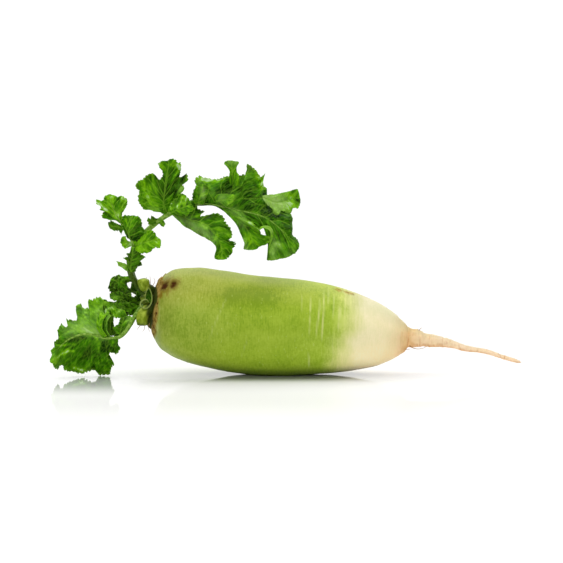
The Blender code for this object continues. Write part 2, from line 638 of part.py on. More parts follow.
def fill_cavities(obj):
    """Removes the inner shells and specks where blades cross, so that the leaf is one solid."""
    mesh = bmesh.new()
    mesh.from_mesh(obj.data)
    bmesh.ops.dissolve_degenerate(mesh, edges=mesh.edges, dist=SHORTEST_EDGE * MM)
    bmesh.ops.triangulate(mesh, faces=mesh.faces)
    waiting = set(mesh.faces)
    while waiting:
        reached = [waiting.pop()]
        for face in reached:
            joints = [edge for edge in face.edges if len(edge.link_faces) == 2]
            near = {other for edge in joints for other in edge.link_faces if other in waiting}
            waiting -= near
            reached.extend(near)
        slices = [face.normal.dot(face.calc_center_median()) * face.calc_area() for face in reached]
        if sum(slices) / 3.0 < SPECK * MM**3:
            bmesh.ops.delete(mesh, geom=reached, context="FACES")
    mesh.to_mesh(obj.data)
    mesh.free()


def plain_material(name, colour, roughness):
    material = bpy.data.materials.new(name)
    material.use_nodes = True
    shader = material.node_tree.nodes["Principled BSDF"]
    shader.inputs["Base Color"].default_value = (*colour, 1.0)
    shader.inputs["Roughness"].default_value = roughness
    material.diffuse_color = (*colour, 1.0)
    return material


def main():
    for obj in list(bpy.data.objects):
        bpy.data.objects.remove(obj)
    root = root_shape("root", 0.0, plain_material("root", SKIN_GREEN, 0.35))
    flatten_belly(root)
    shade_round(root)
    crown = hide_cutter(root_shape("crown_gap_cutter", GAP))
    leaf_object("leaf_arching", ARCHING_LEAF, crown)
    leaf_object("leaf_upright", UPRIGHT_LEAF, crown)
    leaf_object("leaf_inner", INNER_LEAF, crown)
    leaf_object("leaf_drooping", DROOPING_LEAF, crown)
    hollow = tube("hollow_cutter", CURLED_STUB_HOLLOW.line, CURLED_STUB_HOLLOW.radii, STUB_SIDES)
    hide_cutter(hollow)
    stub_object("stalk_stub_upper", UPPER_STUB, [crown])
    stub_object("stalk_stub_curled", CURLED_STUB, [crown, hollow])
    stub_object("stalk_stub_lower", LOWER_STUB, [crown])


main()
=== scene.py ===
# %% [markdown]
# # A green radish and its leaves
#
# This lesson dresses a green radish that lies on its side. A solid model of it is already there: the
# swollen root, four leaves and three stubs of old stalks. It settles every place and size. Here each of
# those solids gets a finer skin: a root with growth rings, cork and a wrinkled tail, and leaves that are
# thin, crumpled and veined. Lengths are worked out in millimetres and put into Blender in metres.

import math
from dataclasses import dataclass

import bpy
import numpy as np
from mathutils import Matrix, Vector


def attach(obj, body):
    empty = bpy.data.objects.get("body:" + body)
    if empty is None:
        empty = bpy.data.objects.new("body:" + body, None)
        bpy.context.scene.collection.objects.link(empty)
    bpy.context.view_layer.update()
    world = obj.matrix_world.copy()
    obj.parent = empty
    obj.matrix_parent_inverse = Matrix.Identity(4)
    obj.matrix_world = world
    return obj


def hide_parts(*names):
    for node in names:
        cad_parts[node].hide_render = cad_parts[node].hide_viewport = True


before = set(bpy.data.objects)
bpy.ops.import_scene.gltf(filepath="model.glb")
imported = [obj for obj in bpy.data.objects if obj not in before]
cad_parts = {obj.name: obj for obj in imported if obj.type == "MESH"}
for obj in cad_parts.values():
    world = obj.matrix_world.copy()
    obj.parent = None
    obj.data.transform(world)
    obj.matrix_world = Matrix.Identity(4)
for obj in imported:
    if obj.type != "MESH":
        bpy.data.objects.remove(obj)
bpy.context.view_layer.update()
print("solids:", sorted(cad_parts))

# %% [markdown]
# ## Lines, rings and grids
#
# Nearly everything on a plant is a sheet or a tube that follows a curved line. The line could be drawn
# as a Bezier curve by hand, but a cubic that passes through a few measured points keeps the model true
# to them. Each shape below is worked out as one array of points, and the faces come from how the grid
# is laid out.

# %% Curves
MM = 0.001


def unit(vectors):
    """Each vector divided by its length."""
    return vectors / np.maximum(np.linalg.norm(vectors, axis=-1, keepdims=True), 1e-9)


def smooth_curve(points, share):
    """The cubic through the points, read at shares from 0 at the first point to 1 at the last.

    Between two points it adds their places and slopes, each times its own cubic weight.
    """
    points = np.asarray(points, float)
    slopes = np.gradient(points, axis=0)
    places = np.asarray(share) * (len(points) - 1)
    index = np.clip(places.astype(int), 0, len(points) - 2)
    t = (places - index).reshape(places.shape + (1,) * (points.ndim - 1))
    start = (2 * t**3 - 3 * t**2 + 1) * points[index] + (t**3 - 2 * t**2 + t) * slopes[index]
    return start + (3 * t**2 - 2 * t**3) * points[index + 1] + (t**3 - t**2) * slopes[index + 1]


def smoothstep(low, high, values):
    """0 below low and 1 above high, with a soft S between: 3t squared less 2t cubed."""
    t = np.clip((values - low) / (high - low), 0.0, 1.0)
    return t * t * (3.0 - 2.0 * t)


def bell(distance, width):
    """1 at distance 0, and e to the minus distance over width, squared, away from it."""
    return np.exp(-((distance / width) ** 2))


def read_along(places, known, values):
    """The rows of values at the known places, read at other places by straight steps between them."""
    return np.stack([np.interp(places, known, values[:, k]) for k in range(3)], axis=-1)


def line_length(line):
    """The sum of the straight steps between a line's points."""
    return np.linalg.norm(np.diff(np.asarray(line, float), axis=0), axis=1).sum()


def soft_noise(points, size, seed):
    """Smooth noise from about -1 to 1 with bumps of the given size in millimetres.

    Each corner of a lattice has a slope of its own. A point blends the heights that the eight slopes
    round it give, by a smooth weight that falls from 1 at its own corner to 0 at the next.
    """
    random = np.random.default_rng(seed)
    slopes = unit(random.normal(size=(256, 3)))
    order = random.permutation(256)
    places = np.asarray(points) / size + 100.0
    cells = np.floor(places).astype(int)
    inside = places - cells
    fade = inside**3 * (inside * (inside * 6.0 - 15.0) + 10.0)
    height = np.zeros(places.shape[:-1])
    for corner in np.array(np.meshgrid((0, 1), (0, 1), (0, 1))).reshape(3, -1).T:
        x, y, z = np.moveaxis(cells + corner, -1, 0)
        slope = slopes[order[(order[(order[x % 256] + y) % 256] + z) % 256]]
        weight = np.prod(np.where(corner == 1, fade, 1.0 - fade), axis=-1)
        height += weight * ((inside - corner) * slope).sum(axis=-1)
    return 1.6 * height


print("the middle of a curve through 3 points:", smooth_curve([(0, 0, 0), (1, 1, 0), (2, 0, 0)], 0.5))

# %% Faces


def ring_faces(rings, sides):
    """Quads between each ring of a tube and the next, and triangles from its two poles to its ends."""
    ring, side = np.meshgrid(np.arange(rings - 1), np.arange(sides), indexing="ij")
    here, there = ring * sides + side, ring * sides + (side + 1) % sides
    quads = np.stack([here, there, there + sides, here + sides], axis=-1).reshape(-1, 4)
    first, pole = here[0], rings * sides
    last = first + (rings - 1) * sides
    start = np.stack([np.full(sides, pole), np.roll(first, -1), first], axis=-1)
    end = np.stack([np.full(sides, pole + 1), last, np.roll(last, -1)], axis=-1)
    return quads, np.concatenate([start, end])


def sheet_faces(rows, columns):
    """Quads of an upper grid, of the lower grid that follows it, and of the wall that joins their rims."""
    number = np.arange(rows * columns).reshape(rows, columns)
    top = np.stack([number[:-1, :-1], number[:-1, 1:], number[1:, 1:], number[1:, :-1]], axis=-1)
    rim = np.concatenate([number[0, :-1], number[:-1, -1], number[-1, :0:-1], number[:0:-1, 0]])
    after, below = np.roll(rim, -1), rows * columns
    wall = np.stack([rim, rim + below, after + below, after], axis=-1)
    top = top.reshape(-1, 4)
    return np.concatenate([top, top[:, ::-1] + below, wall])


def closed_mesh(name, points, quads, triangles=None, **layers):
    """A new object from points in millimetres, with its faces turned outwards.

    The faces point outwards if the sum of each one's corner product, a dot (b cross c), is above zero.
    Each layer is a number per point, kept as an attribute that a material can read.
    """
    triangles = np.zeros((0, 3), int) if triangles is None else triangles
    points = points.reshape(-1, 3)
    split = np.concatenate([quads[:, [0, 1, 2]], quads[:, [0, 2, 3]], triangles])
    a, b, c = (points[split[:, k]] for k in range(3))
    if np.einsum("ij,ij->", a, np.cross(b, c)) < 0:
        quads, triangles = quads[:, ::-1], triangles[:, ::-1]
    corners = np.concatenate([quads.ravel(), triangles.ravel()])
    sizes = np.repeat([4, 3], [len(quads), len(triangles)])
    mesh = bpy.data.meshes.new(name)
    mesh.vertices.add(len(points))
    mesh.vertices.foreach_set("co", (points * MM).astype(np.float32).ravel())
    mesh.loops.add(len(corners))
    mesh.loops.foreach_set("vertex_index", corners.astype(np.int32))
    mesh.polygons.add(len(sizes))
    mesh.polygons.foreach_set("loop_start", (np.cumsum(sizes) - sizes).astype(np.int32))
    mesh.update(calc_edges=True)
    mesh.validate()
    mesh.shade_smooth()
    for layer, values in layers.items():
        values = np.broadcast_to(values, points.shape[:1]) if np.ndim(values) == 0 else values
        data = mesh.attributes.new(layer, "FLOAT", "POINT").data
        data.foreach_set("value", np.asarray(values, np.float32).ravel())
    obj = bpy.data.objects.new(name, mesh)
    bpy.context.scene.collection.objects.link(obj)
    return obj


def tube_piece(name, rings, poles, **layers):
    """A closed piece from rings and poles. A layer's values at the poles are those of the end rings."""
    quads, triangles = ring_faces(*rings.shape[:2])
    points = np.concatenate([rings.reshape(-1, 3), poles])
    for layer, values in layers.items():
        layers[layer] = np.append(values.ravel(), (values[0, 0], values[-1, 0]))
    return closed_mesh(name, points, quads, triangles, **layers)


def finish_piece(obj, material, node=None):
    """Gives a piece its material and slot, lets it ride on the radish, and hides the solid it stands for."""
    obj.data.materials.append(material)
    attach(obj, "root")
    if node:
        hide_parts(node)
    print(f"{obj.name}: {sum(len(p.vertices) - 2 for p in obj.data.polygons)} triangles")
    return obj


quads, triangles = ring_faces(2, 6)
print("a six-sided tube of two rings has", len(quads), "quads and", len(triangles), "triangles")

# %% [markdown]
# ## Finishes
#
# The colours of a radish change along it and over it: green where the light reached the root, cream
# where it sat in the soil, cork at the crown. A painted image could hold this, but it would stretch and
# would fit this mesh alone. So each finish is built from nodes that read the place on the object, and
# from numbers per point that the shapes below work out, such as how near a vein is.

# %% A short way to write nodes


def colour(red, green, blue):
    """A linear colour from the three numbers, 0 to 255, that a colour picker shows."""
    shown = np.array([red, green, blue]) / 255.0
    linear = np.where(shown <= 0.04045, shown / 12.92, ((shown + 0.055) / 1.055) ** 2.4)
    return (*linear.tolist(), 1.0)


class Finish:
    """A material under one Principled shader, with short names for the nodes that feed it."""

    def __init__(self, name, **sockets):
        self.material = bpy.data.materials.new(name)
        self.material.use_nodes = True
        self.tree = self.material.node_tree
        self.shader = self.tree.nodes["Principled BSDF"]
        for socket, value in sockets.items():
            self.shader.inputs[socket.replace("_", " ")].default_value = value
        self.place = self.add("TexCoord", {}).outputs["Object"]

    def add(self, kind, inputs, **settings):
        node = self.tree.nodes.new("ShaderNode" + kind)
        for key, value in settings.items():
            setattr(node, key, value)
        for key, value in inputs.items():
            if isinstance(value, bpy.types.NodeSocket):
                self.tree.links.new(value, node.inputs[key])
            else:
                node.inputs[key].default_value = value
        return node

    def math(self, operation, *numbers):
        return self.add("Math", dict(enumerate(numbers)), operation=operation).outputs[0]

    def mix(self, share, first, second, kind="MIX"):
        inputs = {0: share, 6: first, 7: second}
        return self.add("Mix", inputs, data_type="RGBA", blend_type=kind).outputs[2]

    def ramp(self, value, stops):
        """The colour that the stops, as (place from 0 to 1, colour), give at a value."""
        node = self.add("ValToRGB", {"Fac": value})
        elements = node.color_ramp.elements
        while len(elements) < len(stops):
            elements.new(0.5)
        for element, (place, shade) in zip(elements, stops):
            element.position = place
            element.color = shade
        return node.outputs["Color"]

    def span(self, value, low, high, to_low=0.0, to_high=1.0):
        inputs = {"Value": value, "From Min": low, "From Max": high, "To Min": to_low, "To Max": to_high}
        return self.add("MapRange", inputs, interpolation_type="SMOOTHSTEP").outputs[0]

    def zone(self, value, ends, to_low=0.0, to_high=1.0):
        """A soft step between two places in millimetres."""
        return self.span(value, ends[0] * MM, ends[1] * MM, to_low, to_high)

    def stretched(self, factors):
        inputs = {0: self.place, 1: factors}
        return self.add("VectorMath", inputs, operation="MULTIPLY").outputs[0]

    def noise(self, size, detail=2.0, stretch=None, roughness=0.5):
        """Noise from 0 to 1 with features of the given size in millimetres."""
        vector = self.stretched(stretch) if stretch else self.place
        inputs = {"Vector": vector, "Scale": 1.0 / (size * MM), "Detail": detail, "Roughness": roughness}
        return self.add("TexNoise", inputs).outputs[0]

    def sway(self, size, most, **settings):
        """Noise of the given size, spread from minus the most to the most."""
        return self.span(self.noise(size, **settings), 0.3, 0.7, -most, most)

    def cells(self, size):
        return self.add("TexVoronoi", {"Vector": self.place, "Scale": 1.0 / (size * MM)})

    def layer(self, name):
        """The number per point that the mesh keeps under this name."""
        return self.add("Attribute", {}, attribute_name=name).outputs["Fac"]

    def set(self, socket, value):
        self.tree.links.new(value, self.shader.inputs[socket])

    def bump(self, height, millimetres, strength):
        inputs = {"Height": height, "Distance": millimetres * MM, "Strength": strength}
        self.set("Normal", self.add("Bump", inputs).outputs[0])


print("cream in linear light:", [round(part, 3) for part in colour(240, 228, 172)[:3]])

# %% [markdown]
# ### Leaf
#
# A radish leaf is deep green and slightly glossy above, paler and duller below, with light veins that
# branch down to a net as fine as a grain of rice. The tone layer says where a lobe is darker or lighter,
# and much of it is painted shade and painted highlight, with a painted glint where it runs highest. The
# vein layer says where a vein runs, and the pale layer where the underside shows and where a painted
# sheen lies. Noise keeps any of them from looking even.

# %% Leaf finish
LEAF_DARK = colour(18, 54, 0)
LEAF_MID = colour(60, 122, 0)
LEAF_BRIGHT = colour(128, 190, 14)
LEAF_GLINT = colour(186, 218, 156)
LEAF_VEIN = colour(132, 184, 48)
LEAF_UNDERSIDE_AND_SHEEN = colour(156, 192, 104)
LEAF_RIM = colour(132, 176, 50)


def leaf_finish():
    leaf = Finish("leaf", Roughness=0.4, Specular_IOR_Level=0.03)
    drawn_out = leaf.math("MULTIPLY", leaf.layer("reach"), 0.3)
    course = leaf.add("CombineXYZ", {0: leaf.layer("across"), 1: drawn_out}).outputs[0]

    def along_veins(size, low, high):
        inputs = {"Vector": course, "Scale": 1.0 / size, "Detail": 2.0}
        return leaf.span(leaf.add("TexNoise", inputs).outputs[0], 0.3, 0.7, low, high)

    # Noise drawn out along the veins, as painted shade and painted light of folds
    fold_shading = leaf.math("ADD", along_veins(4.0, -0.3, 0.3), along_veins(1.4, -0.19, 0.19))
    patches = leaf.sway(5.0, 0.18)
    tone = leaf.math("ADD", leaf.layer("tone"), leaf.math("ADD", fold_shading, patches))
    tone = leaf.math("MULTIPLY_ADD", tone, 0.5, 0.4)
    # Dark, mid and bright green, and at the top a painted glint
    stops = ((0.0, LEAF_DARK), (0.4, LEAF_MID), (0.8, LEAF_BRIGHT), (1.0, LEAF_GLINT))
    shade = leaf.ramp(tone, stops)
    inputs = {"Vector": course, "Scale": 0.6, "Randomness": 1.0}
    net = leaf.add("TexVoronoi", inputs, feature="DISTANCE_TO_EDGE").outputs["Distance"]
    net = leaf.span(net, 0.02, 0.16, 0.18, 0.0)
    shade = leaf.mix(net, shade, LEAF_VEIN)
    # The pale underside colour; strokes also lay it on the upper side as a painted sheen
    below = leaf.mix(leaf.span(leaf.noise(3.0), 0.35, 0.65, 0.0, 0.35), LEAF_UNDERSIDE_AND_SHEEN, LEAF_BRIGHT)
    shade = leaf.mix(leaf.layer("pale_and_sheen"), shade, below)
    shade = leaf.mix(leaf.math("MULTIPLY", leaf.layer("vein"), 0.55), shade, LEAF_VEIN)
    shade = leaf.mix(leaf.math("MULTIPLY", leaf.layer("rim"), 0.5), shade, LEAF_RIM)
    leaf.set("Base Color", shade)
    relief = leaf.math("MULTIPLY_ADD", leaf.noise(0.9), 0.5, leaf.span(net, 0.0, 0.18, 0.8, 0.0))
    leaf.bump(relief, 0.45, 0.5)
    leaf.set("Roughness", leaf.span(leaf.noise(2.5), 0.3, 0.7, 0.43, 0.62))
    return leaf.material


LEAF = leaf_finish()
print("made", LEAF.name)

# %% [markdown]
# ### Stalk
#
# The stalks are paler than the blades, ribbed along their length and almost white on the ridges. The
# stubs of older stalks are yellower, and brown where they dried. Near the crown, painted shade darkens
# both.

# %% Stalk and stub finishes


def stalk_finish(name, deep, light, dry, size=0.9):
    stalk = Finish(name, Roughness=0.45, Specular_IOR_Level=0.15)
    ribs = stalk.noise(size, detail=2.0, stretch=(0.5, 1.0, 0.5))
    shade = stalk.mix(stalk.span(ribs, 0.35, 0.65), deep, light)
    shade = stalk.mix(stalk.span(stalk.noise(4.0), 0.55, 0.8, 0.0, 0.5), shade, deep)
    shade = stalk.mix(stalk.layer("dry"), shade, dry)
    stalk.set("Base Color", shade)
    stalk.bump(ribs, 0.2, 0.4)
    return stalk.material


# The last colour is for dried parts, and for painted shade near the crown
STALK = stalk_finish("stalk", colour(92, 136, 28), colour(146, 182, 76), colour(44, 62, 8))
STUB = stalk_finish("old_stalk", colour(114, 138, 14), colour(166, 186, 60), colour(50, 66, 12), 2.4)
STUB_LIP = stalk_finish("stub_lip", colour(124, 146, 66), colour(172, 190, 112), colour(120, 136, 60))
FIBRE = stalk_finish("fibre", colour(170, 128, 80), colour(190, 150, 104), colour(166, 126, 84))
print("made", STALK.name, STUB.name, STUB_LIP.name, "and", FIBRE.name)

# %% [markdown]
# ### Skin
#
# The skin turns from green to cream over a centimetre, at the line where the soil began, and to tan on
# the tail. Thin pale lines run round it where it split a little as it grew, tiny pores show as light
# specks, and the crown has a corky collar with dark scars where leaves were torn off. Light and shade
# are painted on too: a highlight along the top, shade low by the floor, under the tail and at the crown.

# %% Skin colours
SKIN_FROM, SKIN_TO = -80.0, 185.0
# Place along the root and the colour there, from the crown to the tip of the tail
SKIN_COLOURS = (
    (-80.0, colour(140, 156, 56)), (-62.0, colour(158, 178, 64)), (-20.0, colour(150, 177, 46)),
    (20.0, colour(150, 178, 46)), (42.0, colour(158, 186, 54)), (50.0, colour(188, 205, 92)),
    (58.0, colour(224, 225, 146)), (67.0, colour(250, 240, 192)), (84.0, colour(252, 238, 190)),
    (94.0, colour(246, 222, 170)), (101.0, colour(238, 200, 142)), (112.0, colour(247, 219, 174)),
    (135.0, colour(249, 224, 188)), (182.0, colour(244, 214, 176)),
)
# What the colour is multiplied by, from a dark tone at 0 to a light one at 1; the bluish light end is a
# painted highlight
TONE_AND_LIGHT_FACTORS = ((0.0, (0.66, 0.76, 0.42, 1.0)), (0.5, (1.0, 1.0, 1.0, 1.0)), (1.0, (1.3, 1.2, 1.7, 1.0)))
# Heights where each tint of painted light begins and is full, and the tint: painted shade on the top, painted
# light on the lower half and painted shade at the contact
LIGHT_AND_SHADE_BY_HEIGHT = (
    ((44.0, 64.0), (0.97, 0.85, 0.95, 1.0)),
    ((30.0, 8.0), (1.14, 1.12, 1.12, 1.0)),
    ((9.0, 2.0), (0.62, 0.62, 0.8, 1.0)),
)
# Where the green fades to cream, and where the wrinkled tail begins
GREEN_ENDS = (46.0, 60.0)
TAIL_BEGINS = (92.0, 106.0)
# Painted shade on the cream where it faces up
TOP_SHADE = (0.68, 0.73, 0.74, 1.0)
CORK = colour(170, 142, 74)
CORK_DARK = colour(118, 86, 30)
SCAR = colour(64, 30, 0)
HALO = colour(120, 96, 14)
# Dark green of the crown's collar, partly painted shade
COLLAR_AND_SHADE = colour(52, 66, 12)
PORE = colour(196, 210, 112)
LINE = colour(218, 222, 140)
# Tan of the tail's wrinkles, also laid on as painted shade under the tail and in its folds
TAIL_TAN_AND_SHADE = colour(206, 146, 88)
print("colours along the root:", len(SKIN_COLOURS))

# %% Skin finish


def skin_ground(skin, green, height):
    """The colour without marks, by place along the root and tone, with painted light and shade by height and
    painted shade where the cream faces up.
    """
    wobble = skin.sway(1.6, 0.8, detail=1.0, stretch=(1.0, 0.12, 0.12))
    place = skin.math("ADD", skin.layer("border"), wobble)
    along = skin.add("MapRange", {"Value": place, "From Min": SKIN_FROM, "From Max": SKIN_TO}).outputs[0]
    stops = [((x - SKIN_FROM) / (SKIN_TO - SKIN_FROM), shade) for x, shade in SKIN_COLOURS]
    broad = skin.sway(9.0, 0.35, detail=3.0, stretch=(0.8, 1.0, 1.0))
    grain = skin.sway(1.4, 0.35, detail=3.0)
    weave = skin.sway(0.9, 0.4, detail=1.0, stretch=(1.0, 0.2, 0.2))
    tone = skin.math("ADD", skin.math("ADD", skin.layer("tone"), broad), skin.math("ADD", grain, weave))
    tone = skin.ramp(skin.math("MULTIPLY_ADD", tone, 0.4, 0.5), TONE_AND_LIGHT_FACTORS)
    shade = skin.mix(skin.math("MULTIPLY_ADD", green, 0.75, 0.2), skin.ramp(along, stops), tone, "MULTIPLY")
    for ends, tint in LIGHT_AND_SHADE_BY_HEIGHT:
        shade = skin.mix(skin.zone(height, ends), shade, tint, "MULTIPLY")
    painted_top_shade = skin.math("MULTIPLY", skin.layer("up"), skin.math("SUBTRACT", 1.0, green))
    return skin.mix(painted_top_shade, shade, TOP_SHADE, "MULTIPLY")


def skin_pores(skin, green):
    """Where a pore shows on the green: in the middle of some cells, and at the peaks of a fine noise."""
    cells = skin.cells(3.4)
    dots = skin.span(cells.outputs["Distance"], 0.06, 0.2, 1.0, 0.0)
    chosen = skin.span(skin.add("SeparateColor", {0: cells.outputs["Color"]}).outputs[0], 0.7, 1.0)
    dashes = skin.span(skin.noise(1.3, detail=1.0, stretch=(1.0, 0.5, 0.4)), 0.66, 0.76, 0.0, 0.7)
    return skin.math("MULTIPLY", skin.math("MAXIMUM", skin.math("MULTIPLY", dots, chosen), dashes), green)


def skin_finish():
    skin = Finish("skin", Roughness=0.42, Specular_IOR_Level=0.1)
    place = skin.add("SeparateXYZ", {0: skin.place}).outputs
    green = skin.span(skin.layer("border"), *GREEN_ENDS, 1.0, 0.0)
    on_tail = skin.zone(place[0], TAIL_BEGINS)
    wrinkles = skin.noise(2.2, detail=3.0, stretch=(1.0, 0.3, 0.3))
    brown = skin.math("MULTIPLY", skin.span(wrinkles, 0.52, 0.72, 0.0, 0.6), on_tail)
    crumbs = skin.noise(2.4, detail=3.0, roughness=0.6)
    cork = skin.mix(skin.span(crumbs, 0.38, 0.62), CORK_DARK, CORK)

    def part(name, share):
        return skin.math("MULTIPLY", skin.layer(name), share)

    shade = skin_ground(skin, green, place[2])
    shade = skin.mix(skin.math("MULTIPLY", skin_pores(skin, green), 0.4), shade, PORE)
    # The marks laid on in turn. The brown under the tail is painted shade, and the dark collar is partly
    # painted shade.
    for share, over in (
        (part("streak", 0.75), LINE), (brown, TAIL_TAN_AND_SHADE), (part("under", 0.75), TAIL_TAN_AND_SHADE),
        (skin.layer("halo"), HALO), (part("cork", 0.92), cork), (skin.layer("collar"), COLLAR_AND_SHADE),
        (skin.layer("scar"), SCAR),
    ):
        shade = skin.mix(share, shade, over)
    skin.set("Base Color", shade)
    rough = skin.math("MAXIMUM", skin.math("MAXIMUM", skin.layer("cork"), skin.layer("scar")), on_tail)
    skin.set("Roughness", skin.span(rough, 0.0, 1.0, 0.4, 0.9))
    height = skin.math("ADD", skin.math("MULTIPLY", skin.noise(0.7, detail=3.0), 0.25),
                       skin.math("MULTIPLY", crumbs, skin.layer("cork")))
    height = skin.math("ADD", height, skin.math("MULTIPLY", wrinkles, on_tail))
    skin.bump(height, 0.5, 0.6)
    return skin.material


SKIN = skin_finish()
print("made", SKIN.name)

# %% [markdown]
# ## The root
#
# The root is a turned shape on a bent axis: a profile of radii is carried along a line that follows the
# photo's outline. Real skin is never a clean turned surface, so the rings are then pushed in or out by
# soft lumps, by shallow grooves where it grew in spurts, by crumbs of cork at the crown and by wrinkles
# on the tail. The belly also hangs a little below the turned shape towards the tail, and lies a little
# above it near the crown. It is level where it rests.

# %% Root profile and axis
# Distance along the axis and radius there, from the middle of the crown to the tip of the tail
ROOT_PROFILE = (
    (-81.0, 0.0), (-80.8, 5.0), (-80.0, 10.0), (-78.4, 13.2), (-76.4, 15.0), (-75.5, 17.6), (-73.9, 20.8),
    (-70.2, 25.6), (-64.4, 30.0), (-50.0, 33.8), (-34.0, 34.7), (-12.0, 34.9), (8.0, 34.5), (27.0, 33.3),
    (46.0, 30.5), (64.0, 26.6), (79.0, 21.6), (90.0, 15.9), (97.0, 10.9), (101.5, 7.6), (104.0, 6.5),
    (107.0, 6.4), (111.0, 5.8), (114.0, 4.6), (119.0, 4.5), (127.0, 3.5), (136.0, 2.6), (144.0, 2.2),
    (151.0, 1.7), (162.0, 1.6), (178.0, 1.2), (182.0, 0.0),
)
# The middle line, which sinks towards the tail
ROOT_AXIS = (
    (-79.0, 0.0, 46.3), (-70.0, 0.0, 45.4), (-60.0, 0.0, 43.9), (-50.0, 0.0, 41.9), (-34.0, 0.0, 38.9),
    (-15.0, 0.0, 35.8), (6.0, 0.0, 33.7), (28.0, 0.0, 33.1), (55.0, 0.0, 31.5), (83.0, 0.3, 28.7),
    (106.0, 0.8, 25.4), (130.0, 1.6, 21.9), (143.0, 1.0, 18.3), (157.0, -0.6, 16.2), (169.0, -2.0, 12.4),
    (182.0, -2.6, 8.6),
)
# Place along the root, and how far the belly hangs below the turned shape there
BELLY = (
    (-80.0, 0.0), (-72.0, -1.6), (-56.0, -1.4), (-34.0, -0.7), (-15.0, 0.0), (28.0, 0.0), (54.0, 1.6),
    (69.0, 1.9), (83.0, 3.1), (97.0, 3.3), (101.0, 2.6), (102.5, 1.2), (104.0, 0.1),
)
AXIS_STEPS = 400
ROOT_RINGS = 600
ROOT_SIDES = 128


def root_frame(x):
    """Centre, and the two directions square to the axis, at places along the root."""
    axis = smooth_curve(ROOT_AXIS, np.linspace(0.0, 1.0, AXIS_STEPS))
    slope = np.gradient(axis, axis=0)
    centre = read_along(x, axis[:, 0], axis)
    ahead = axis[0] + (x[:, None] - axis[0, 0]) * unit(axis[1] - axis[0])
    centre = np.where(x[:, None] < axis[0, 0], ahead, centre)
    centre[:, 0] = x
    along = unit(read_along(x, axis[:, 0], slope))
    across = unit(np.cross(along, (0.0, 1.0, 0.0)))
    return centre, across, np.cross(across, along)


rings = smooth_curve(ROOT_PROFILE, np.linspace(0.0, 1.0, ROOT_RINGS))
centre, across, side = root_frame(rings[:, 0])
belly = np.interp(rings[:, 0], *np.transpose(BELLY))
turn = np.linspace(0.0, 2.0 * math.pi, ROOT_SIDES, endpoint=False)
outward = np.cos(turn)[None, :, None] * across[:, None] + np.sin(turn)[None, :, None] * side[:, None]
root_points = centre[:, None] + rings[:, 1, None, None] * outward
root_points[..., 2] -= belly[:, None] * smoothstep(0.1, -0.95, outward[..., 2])
print("root grid:", root_points.shape, "front of the root at y", root_points[..., 1].min().round(1))

# %% [markdown]
# ### Marks on the skin
#
# The pale growth lines, the corky collar, the dark scars and the tan scabs are few, so each is given by
# its place as seen from the front. A mark's depth then comes from the root itself: it is the point of
# the surface in front of that place. The growth lines run on round the back, and the scars have a second
# set there, because a radish has them all round.

# %% Where a mark lies
x, z = root_points[..., 0], root_points[..., 2]


def rough(size, seed):
    """Noise over the root, with bumps of the given size in millimetres."""
    return soft_noise(root_points, size, seed)


def mark_place(x, z):
    """The point of the root's front that is seen at place x along it and height z."""
    centre = root_frame(np.array([x]))[0][0]
    radius = np.interp(x, rings[:, 0], rings[:, 1])
    return np.array([x, centre[1] - math.sqrt(max(radius**2 - (z - centre[2]) ** 2, 0.0)), z])


def spot(middle, radius, ragged=0.3):
    """1 at a mark's middle and 0 past its ragged edge, where noise changes the radius."""
    distance = np.linalg.norm(root_points - middle, axis=-1)
    edge = radius * np.maximum(1.0 + ragged * rough(1.6, 43), 0.3)
    return smoothstep(1.25, 0.6, distance / edge)


print("the root's front at its middle:", mark_place(0.0, 34.0).round(1))

# %% Growth lines
# Place along the root, height above the ground, reach round the root, strength and lean of each line
GROWTH_LINES = (
    (33.4, 43.5, 12.0, 0.85, 0.05), (39.0, 42.5, 11.5, 1.0, 0.1), (42.4, 43.5, 14.5, 1.0, 0.05),
    (46.5, 57.0, 5.0, 0.5, 0.1), (49.8, 50.0, 8.0, 0.5, 0.05), (53.3, 42.0, 8.0, 0.9, 0.05),
    (54.6, 43.0, 7.0, 0.8, 0.05), (57.5, 47.0, 12.0, 0.6, 0.0), (61.5, 47.0, 11.0, 0.6, 0.0),
    (28.0, 52.0, 6.0, 0.3, 0.0), (49.0, 17.0, 10.0, 0.7, 0.0), (32.6, 12.5, 6.0, 0.7, 0.0),
    (-28.0, 48.0, 9.0, 0.35, 0.45), (-33.0, 37.0, 8.0, 0.25, 0.4), (-12.0, 22.0, 6.0, 0.3, 0.3),
)
LINE_WIDTH = 0.5

slow_waver, quick_waver = 0.6 * rough(16.0, 44), 0.25 * rough(5.0, 45)
broken = smoothstep(-0.75, -0.15, soft_noise(root_points * (0.3, 1.0, 1.0), 7.0, 46))
streak = np.zeros(x.shape)
for place, height, reach, strength, lean in GROWTH_LINES:
    bend = place + lean * (z - height) + slow_waver + quick_waver
    line = bell(x - bend, LINE_WIDTH) * smoothstep(1.3, 0.6, np.abs(z - height) / reach)
    streak = np.maximum(streak, strength * line * broken)
print(len(GROWTH_LINES), "growth lines")

# %% Scars and stains
# Place along the root, height, radius and depth of each scar. The last three stand up, as warts.
SCARS = (
    (-68.2, 65.2, 4.0, 0.8), (-60.9, 67.0, 2.4, 0.7), (-61.4, 65.4, 2.2, 0.7), (-72.6, 52.2, 1.0, 0.3),
    (-72.8, 45.6, 1.1, 0.3), (-74.2, 35.0, 1.3, 0.3), (-75.0, 40.0, 0.9, 0.3), (-72.9, 67.3, 1.3, -0.9),
    (-70.6, 70.0, 1.0, -0.8), (-74.3, 65.6, 1.2, -0.9),
)
# Place along the root, height, radius and strength of the brown stains
STAINS = ((-70.8, 58.6, 3.2, 0.9), (-65.4, 61.8, 3.0, 0.6), (-64.6, 67.2, 2.6, 0.6), (-74.6, 36.0, 3.0, 0.6))

